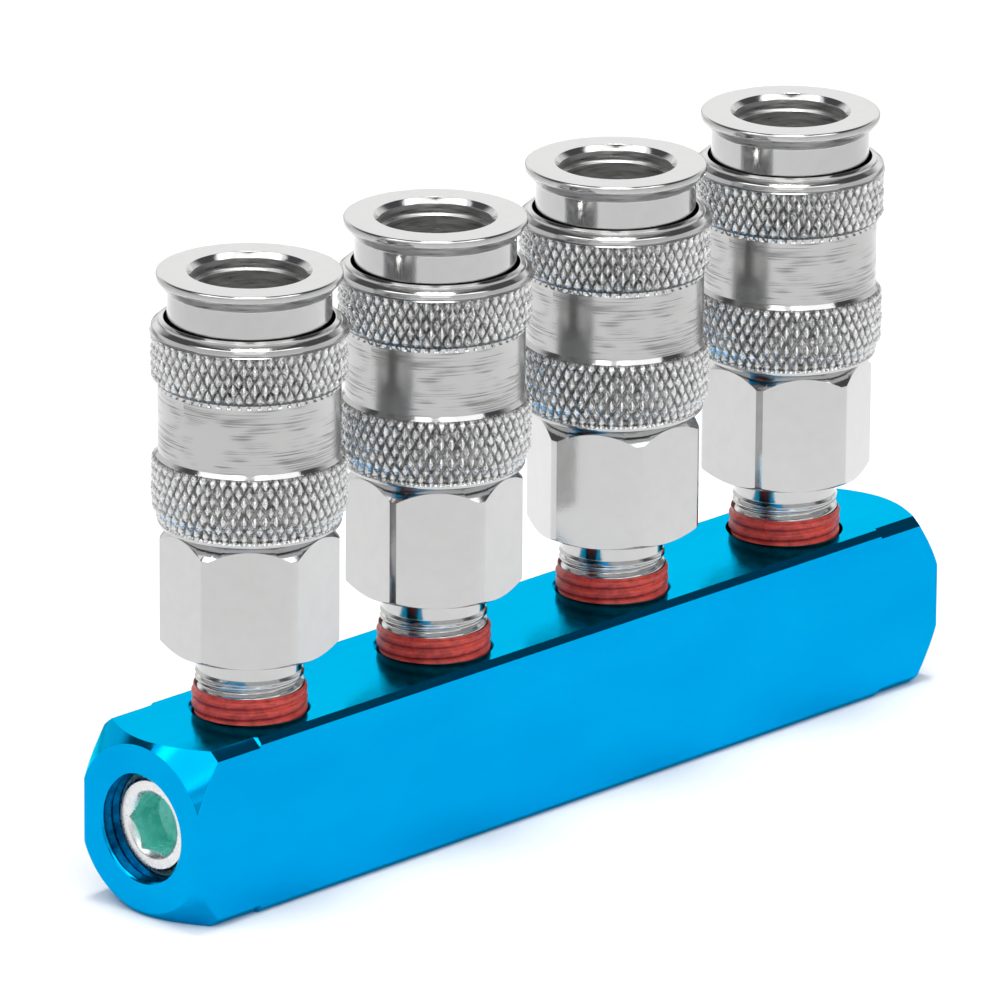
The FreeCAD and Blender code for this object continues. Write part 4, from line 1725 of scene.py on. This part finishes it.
@dataclass
class Spring:
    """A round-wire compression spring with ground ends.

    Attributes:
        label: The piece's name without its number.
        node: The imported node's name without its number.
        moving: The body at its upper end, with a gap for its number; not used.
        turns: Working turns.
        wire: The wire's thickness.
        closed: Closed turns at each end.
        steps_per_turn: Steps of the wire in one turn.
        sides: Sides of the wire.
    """

    label: str
    node: str
    moving: str
    turns: float
    wire: float
    closed: float = 0.75
    steps_per_turn: int = 40
    sides: int = 12

    def ring(self, place: Place, step: int) -> list[tuple[float, float, float]]:
        """Points round the wire at one of its steps.

        Args:
            place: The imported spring's place.
            step: The step's number.

        Returns:
            The points.
        """
        half_wire = self.wire / 2
        mean = place.radius - half_wire
        low, high = place.bottom + half_wire, place.top - half_wire
        turned_by = step / self.steps_per_turn
        share = min(max((turned_by - self.closed) / self.turns, 0.0), 1.0)
        height = low + (high - low) * share
        angle = 2 * math.pi * turned_by
        points = []
        for side in range(self.sides):
            roll = 2 * math.pi * side / self.sides
            radius = mean + half_wire * math.cos(roll)
            level = height + half_wire * math.sin(roll)
            points.append((radius * math.cos(angle), radius * math.sin(angle), level))
        return points

    def make(self, number: int) -> Piece:
        """Builds the spring of one coupler.

        Args:
            number: The coupler's number.

        Returns:
            The piece.
        """
        node = f"{self.node}_{number}"
        place = Place.of(node)
        steps = round((self.turns + 2 * self.closed) * self.steps_per_turn)
        places = [point for step in range(steps + 1) for point in self.ring(place, step)]
        sides = range(self.sides)
        faces: list[tuple[int, ...]] = []
        for start in range(0, steps * self.sides, self.sides):
            end = start + self.sides
            for side in sides:
                after = (side + 1) % self.sides
                faces.append((start + side, start + after, end + after, end + side))
        last = steps * self.sides
        faces += [tuple(sides)[::-1], tuple(range(last, last + self.sides))]
        mesh = mesh_of(node, places, faces)
        piece = stand(f"{self.label}_{number}", mesh, place.foot(), None, [SPRING_WIRE], node)
        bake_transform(piece)
        return piece


@dataclass
class Coupler:
    """One quick coupler: its adaptor, nose, sleeve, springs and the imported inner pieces."""

    adaptor: Adaptor = field(default_factory=Adaptor)
    nose: Nose = field(default_factory=Nose)
    sleeve: Sleeve = field(default_factory=Sleeve)
    sealant: SealantBand = field(default_factory=SealantBand)
    sleeve_spring: Spring = field(default_factory=lambda: Spring(
        "sleeve_coil", "sleeve_spring", "sleeve_{}_body", turns=3.0, wire=0.62,
    ))
    valve_spring: Spring = field(default_factory=lambda: Spring(
        "valve_coil", "valve_spring", "valve_{}_body", turns=4.5, wire=0.8,
    ))

    def dress_inner(self, number: int) -> None:
        """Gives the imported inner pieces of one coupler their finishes.

        Args:
            number: The coupler's number.
        """
        for name, finish, slot in (
            (f"valve_{number}", TURNED_BRASS, Slot.BRASS),
            (f"valve_seal_{number}", SEAL_RUBBER, Slot.RUBBER),
            (f"gasket_{number}", SEAL_RUBBER, Slot.RUBBER),
            (f"pusher_{number}", BrightPlate(), Slot.PLATED),
            *((f"ball_{number}{letter}", POLISHED_BALL, Slot.BALL) for letter in "abc"),
        ):
            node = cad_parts[name]
            node.data.materials.clear()
            node.data.materials.append(finish.material())
            LOG.info("%s: packed node with %s", name, finish.name)

    def make(self, number: int) -> None:
        """Builds all pieces of one coupler.

        Args:
            number: The coupler's number.
        """
        springs = (self.sleeve_spring, self.valve_spring)
        for part in (self.adaptor, self.nose, self.sleeve, self.sealant, *springs):
            part.make(number)
        self.dress_inner(number)


def heading(azimuth: float, elevation: float) -> Vector:
    """The direction from the object to something at an azimuth and elevation in degrees."""
    a, e = math.radians(azimuth), math.radians(elevation)
    return Vector((math.sin(a) * math.cos(e), -math.cos(a) * math.cos(e), math.sin(e)))


@dataclass(frozen=True)
class Softbox:
    """A studio light that faces the object.

    Attributes:
        name: The light's name.
        azimuth: Its direction from the object, in degrees, as the camera's.
        elevation: Its height above the horizon, in degrees.
        distance: Its distance in metres.
        width: Its width in metres.
        height: Its height in metres.
        glow: Its radiance.
        aim: The height in metres that it faces.
    """

    name: str
    azimuth: float
    elevation: float
    distance: float
    width: float
    height: float
    glow: float
    aim: float = 0.04

    def make(self) -> None:
        """Sets the light up."""
        data = bpy.data.lights.new(self.name, "AREA")
        data.shape = "RECTANGLE"
        data.size = self.width
        data.size_y = self.height
        data.energy = self.glow * math.pi * self.width * self.height
        light = bpy.data.objects.new(self.name, data)
        bpy.context.scene.collection.objects.link(light)
        back = heading(self.azimuth, self.elevation)
        light.location = Vector((0, 0, self.aim)) + back * self.distance
        light.rotation_mode = "QUATERNION"
        light.rotation_quaternion = back.to_track_quat("Z", "Y")
        light.visible_camera = False


@dataclass(frozen=True)
class TableSpot:
    """A spotlight straight above the table that brightens a round patch of it.

    Attributes:
        name: The light's name.
        azimuth: Direction of the patch from the object, in degrees.
        reach: Distance of the patch from the object, in metres.
        radius: Radius of the patch, in metres.
        glow: Brightness that it adds to the table.
        source: Radius of the lamp, in metres.
        height: Height of the lamp, in metres.
        softness: Share of the patch over which its edge fades.
    """

    name: str
    azimuth: float
    reach: float
    radius: float
    glow: float
    source: float
    height: float = 1.5
    softness: float = 0.8

    def make(self) -> None:
        """Sets the spotlight up."""
        data = bpy.data.lights.new(self.name, "SPOT")
        data.energy = self.glow * 4 * math.pi * math.pi * self.height ** 2
        data.spot_size = 2 * math.atan(self.radius / self.height)
        data.spot_blend = self.softness
        data.shadow_soft_size = self.source
        light = bpy.data.objects.new(self.name, data)
        bpy.context.scene.collection.objects.link(light)
        light.location = heading(self.azimuth, 0) * self.reach + Vector((0, 0, self.height))
        light.visible_camera = False


@dataclass
class Studio:
    """The white table, the lights and the camera."""

    camera_azimuth: float = -46.262
    camera_elevation: float = 18.402
    camera_roll: float = 0.412
    camera_distance: float = 1360.434
    camera_target: tuple[float, float, float] = (-4.243, 0.0, 37.732)
    lens: float = 402.686
    sensor: float = 36.0
    nearest: float = 0.05
    farthest: float = 50.0
    table_size: float = 12.0
    table_gap: float = 0.00005
    sky_low: float = 0.98
    sky_side: float = 0.8
    sky_high: float = 0.11
    sky_tint: float = 1.1
    side_span: Span = Span(-0.1, 0.6)
    fade: Span = Span(0.36, 0.50)

    def make_table(self) -> None:
        """Lays the white table under the object."""
        half = self.table_size / 2
        corners = [(-half, -half, 0), (half, -half, 0), (half, half, 0), (-half, half, 0)]
        mesh = bpy.data.meshes.new("table")
        mesh.from_pydata(corners, [], [(0, 1, 2, 3)])
        table = bpy.data.objects.new("table", mesh)
        table.location = (0, 0, -self.table_gap)
        mesh.materials.append(PaleFloor().material())
        bpy.context.scene.collection.objects.link(table)

    def make_sky(self) -> None:
        """Fills the room with light that is bright at the horizon and dark overhead."""
        world = bpy.data.worlds.new("room")
        bpy.context.scene.world = world
        world.use_nodes = True
        nodes, links = world.node_tree.nodes, world.node_tree.links
        nodes.clear()
        place = nodes.new("ShaderNodeTexCoord")
        parts = nodes.new("ShaderNodeSeparateXYZ")
        behind = nodes.new("ShaderNodeVectorMath")
        behind.operation = "DOT_PRODUCT"
        behind.inputs[1].default_value = heading(self.camera_azimuth + 180, 0)
        share = nodes.new("ShaderNodeMapRange")
        share.interpolation_type = "SMOOTHSTEP"
        share.inputs["From Min"].default_value = self.side_span.low
        share.inputs["From Max"].default_value = self.side_span.high
        share.inputs["To Min"].default_value = self.sky_side / self.sky_low
        ramp = nodes.new("ShaderNodeValToRGB")
        low, high = ramp.color_ramp.elements
        low.position = self.fade.low
        low.color = (self.sky_low, self.sky_low, self.sky_low, 1)
        high.position = self.fade.high
        high.color = (self.sky_high, self.sky_high, self.sky_high * self.sky_tint, 1)
        background = nodes.new("ShaderNodeBackground")
        output = nodes.new("ShaderNodeOutputWorld")
        for begin, end in (
            (place.outputs["Generated"], behind.inputs[0]),
            (behind.outputs["Value"], share.inputs["Value"]),
            (place.outputs["Generated"], parts.inputs[0]),
            (parts.outputs[2], ramp.inputs[0]),
            (ramp.outputs[0], background.inputs[0]),
            (share.outputs[0], background.inputs[1]),
            (background.outputs[0], output.inputs[0]),
        ):
            links.new(begin, end)

    def make_lights(self) -> None:
        """Sets up the softboxes round the camera and the spotlights on the table."""
        front = self.camera_azimuth
        for light in (
            Softbox("key_left", front - 42, elevation=52, distance=1.3, width=1.1, height=0.9, glow=1.85),
            Softbox("key_right", front + 42, elevation=52, distance=1.3, width=1.1, height=0.9, glow=1.75),
            Softbox("front_fill", front, elevation=42, distance=1.3, width=0.8, height=1.05, glow=0.8),
            Softbox("side_left", front - 76, elevation=56, distance=1.3, width=0.5, height=0.5, glow=1.3),
            Softbox("side_right", front + 72, elevation=58, distance=1.3, width=0.45, height=0.45, glow=1.3),
            Softbox("back_panel", front + 180, elevation=28, distance=1.6, width=2.2, height=0.9, glow=0.3),
            TableSpot("table_wash", front + 180, reach=0.17, radius=0.32, glow=1.0, source=0.30),
            TableSpot("table_left", front - 60, reach=0.105, radius=0.05, glow=0.7, source=0.2),
            TableSpot("table_right", front + 60, reach=0.105, radius=0.05, glow=0.7, source=0.2),
        ):
            light.make()

    def make_camera(self) -> None:
        """Stands the camera where the photograph was taken."""
        data = bpy.data.cameras.new("camera")
        data.sensor_width = self.sensor
        data.lens = self.lens
        data.clip_start = self.nearest
        data.clip_end = self.farthest
        camera = bpy.data.objects.new("camera", data)
        bpy.context.scene.collection.objects.link(camera)
        back = heading(self.camera_azimuth, self.camera_elevation)
        camera.location = Vector(self.camera_target) * MM + back * self.camera_distance * MM
        camera.rotation_mode = "QUATERNION"
        roll = Matrix.Rotation(math.radians(self.camera_roll), 4, "Z").to_quaternion()
        camera.rotation_quaternion = (-back).to_track_quat("-Z", "Y") @ roll
        bpy.context.scene.camera = camera

    def make(self) -> None:
        """Builds the whole studio."""
        self.make_table()
        self.make_sky()
        self.make_lights()
        self.make_camera()
        view = bpy.context.scene.view_settings
        view.view_transform = "Standard"
        view.look = "None"


def main() -> None:
    """Builds the studio, the bar, the plug and the four couplers."""
    logging.basicConfig(level=logging.INFO, format="%(name)s: %(message)s")
    Studio().make()
    numbers = range(1, 5)
    ManifoldBar().make([Place.of(f"adaptor_{number}") for number in numbers])
    EndPlug().make()
    coupler = Coupler()
    for number in numbers:
        coupler.make(number)


if __name__ == "__main__":
    main()
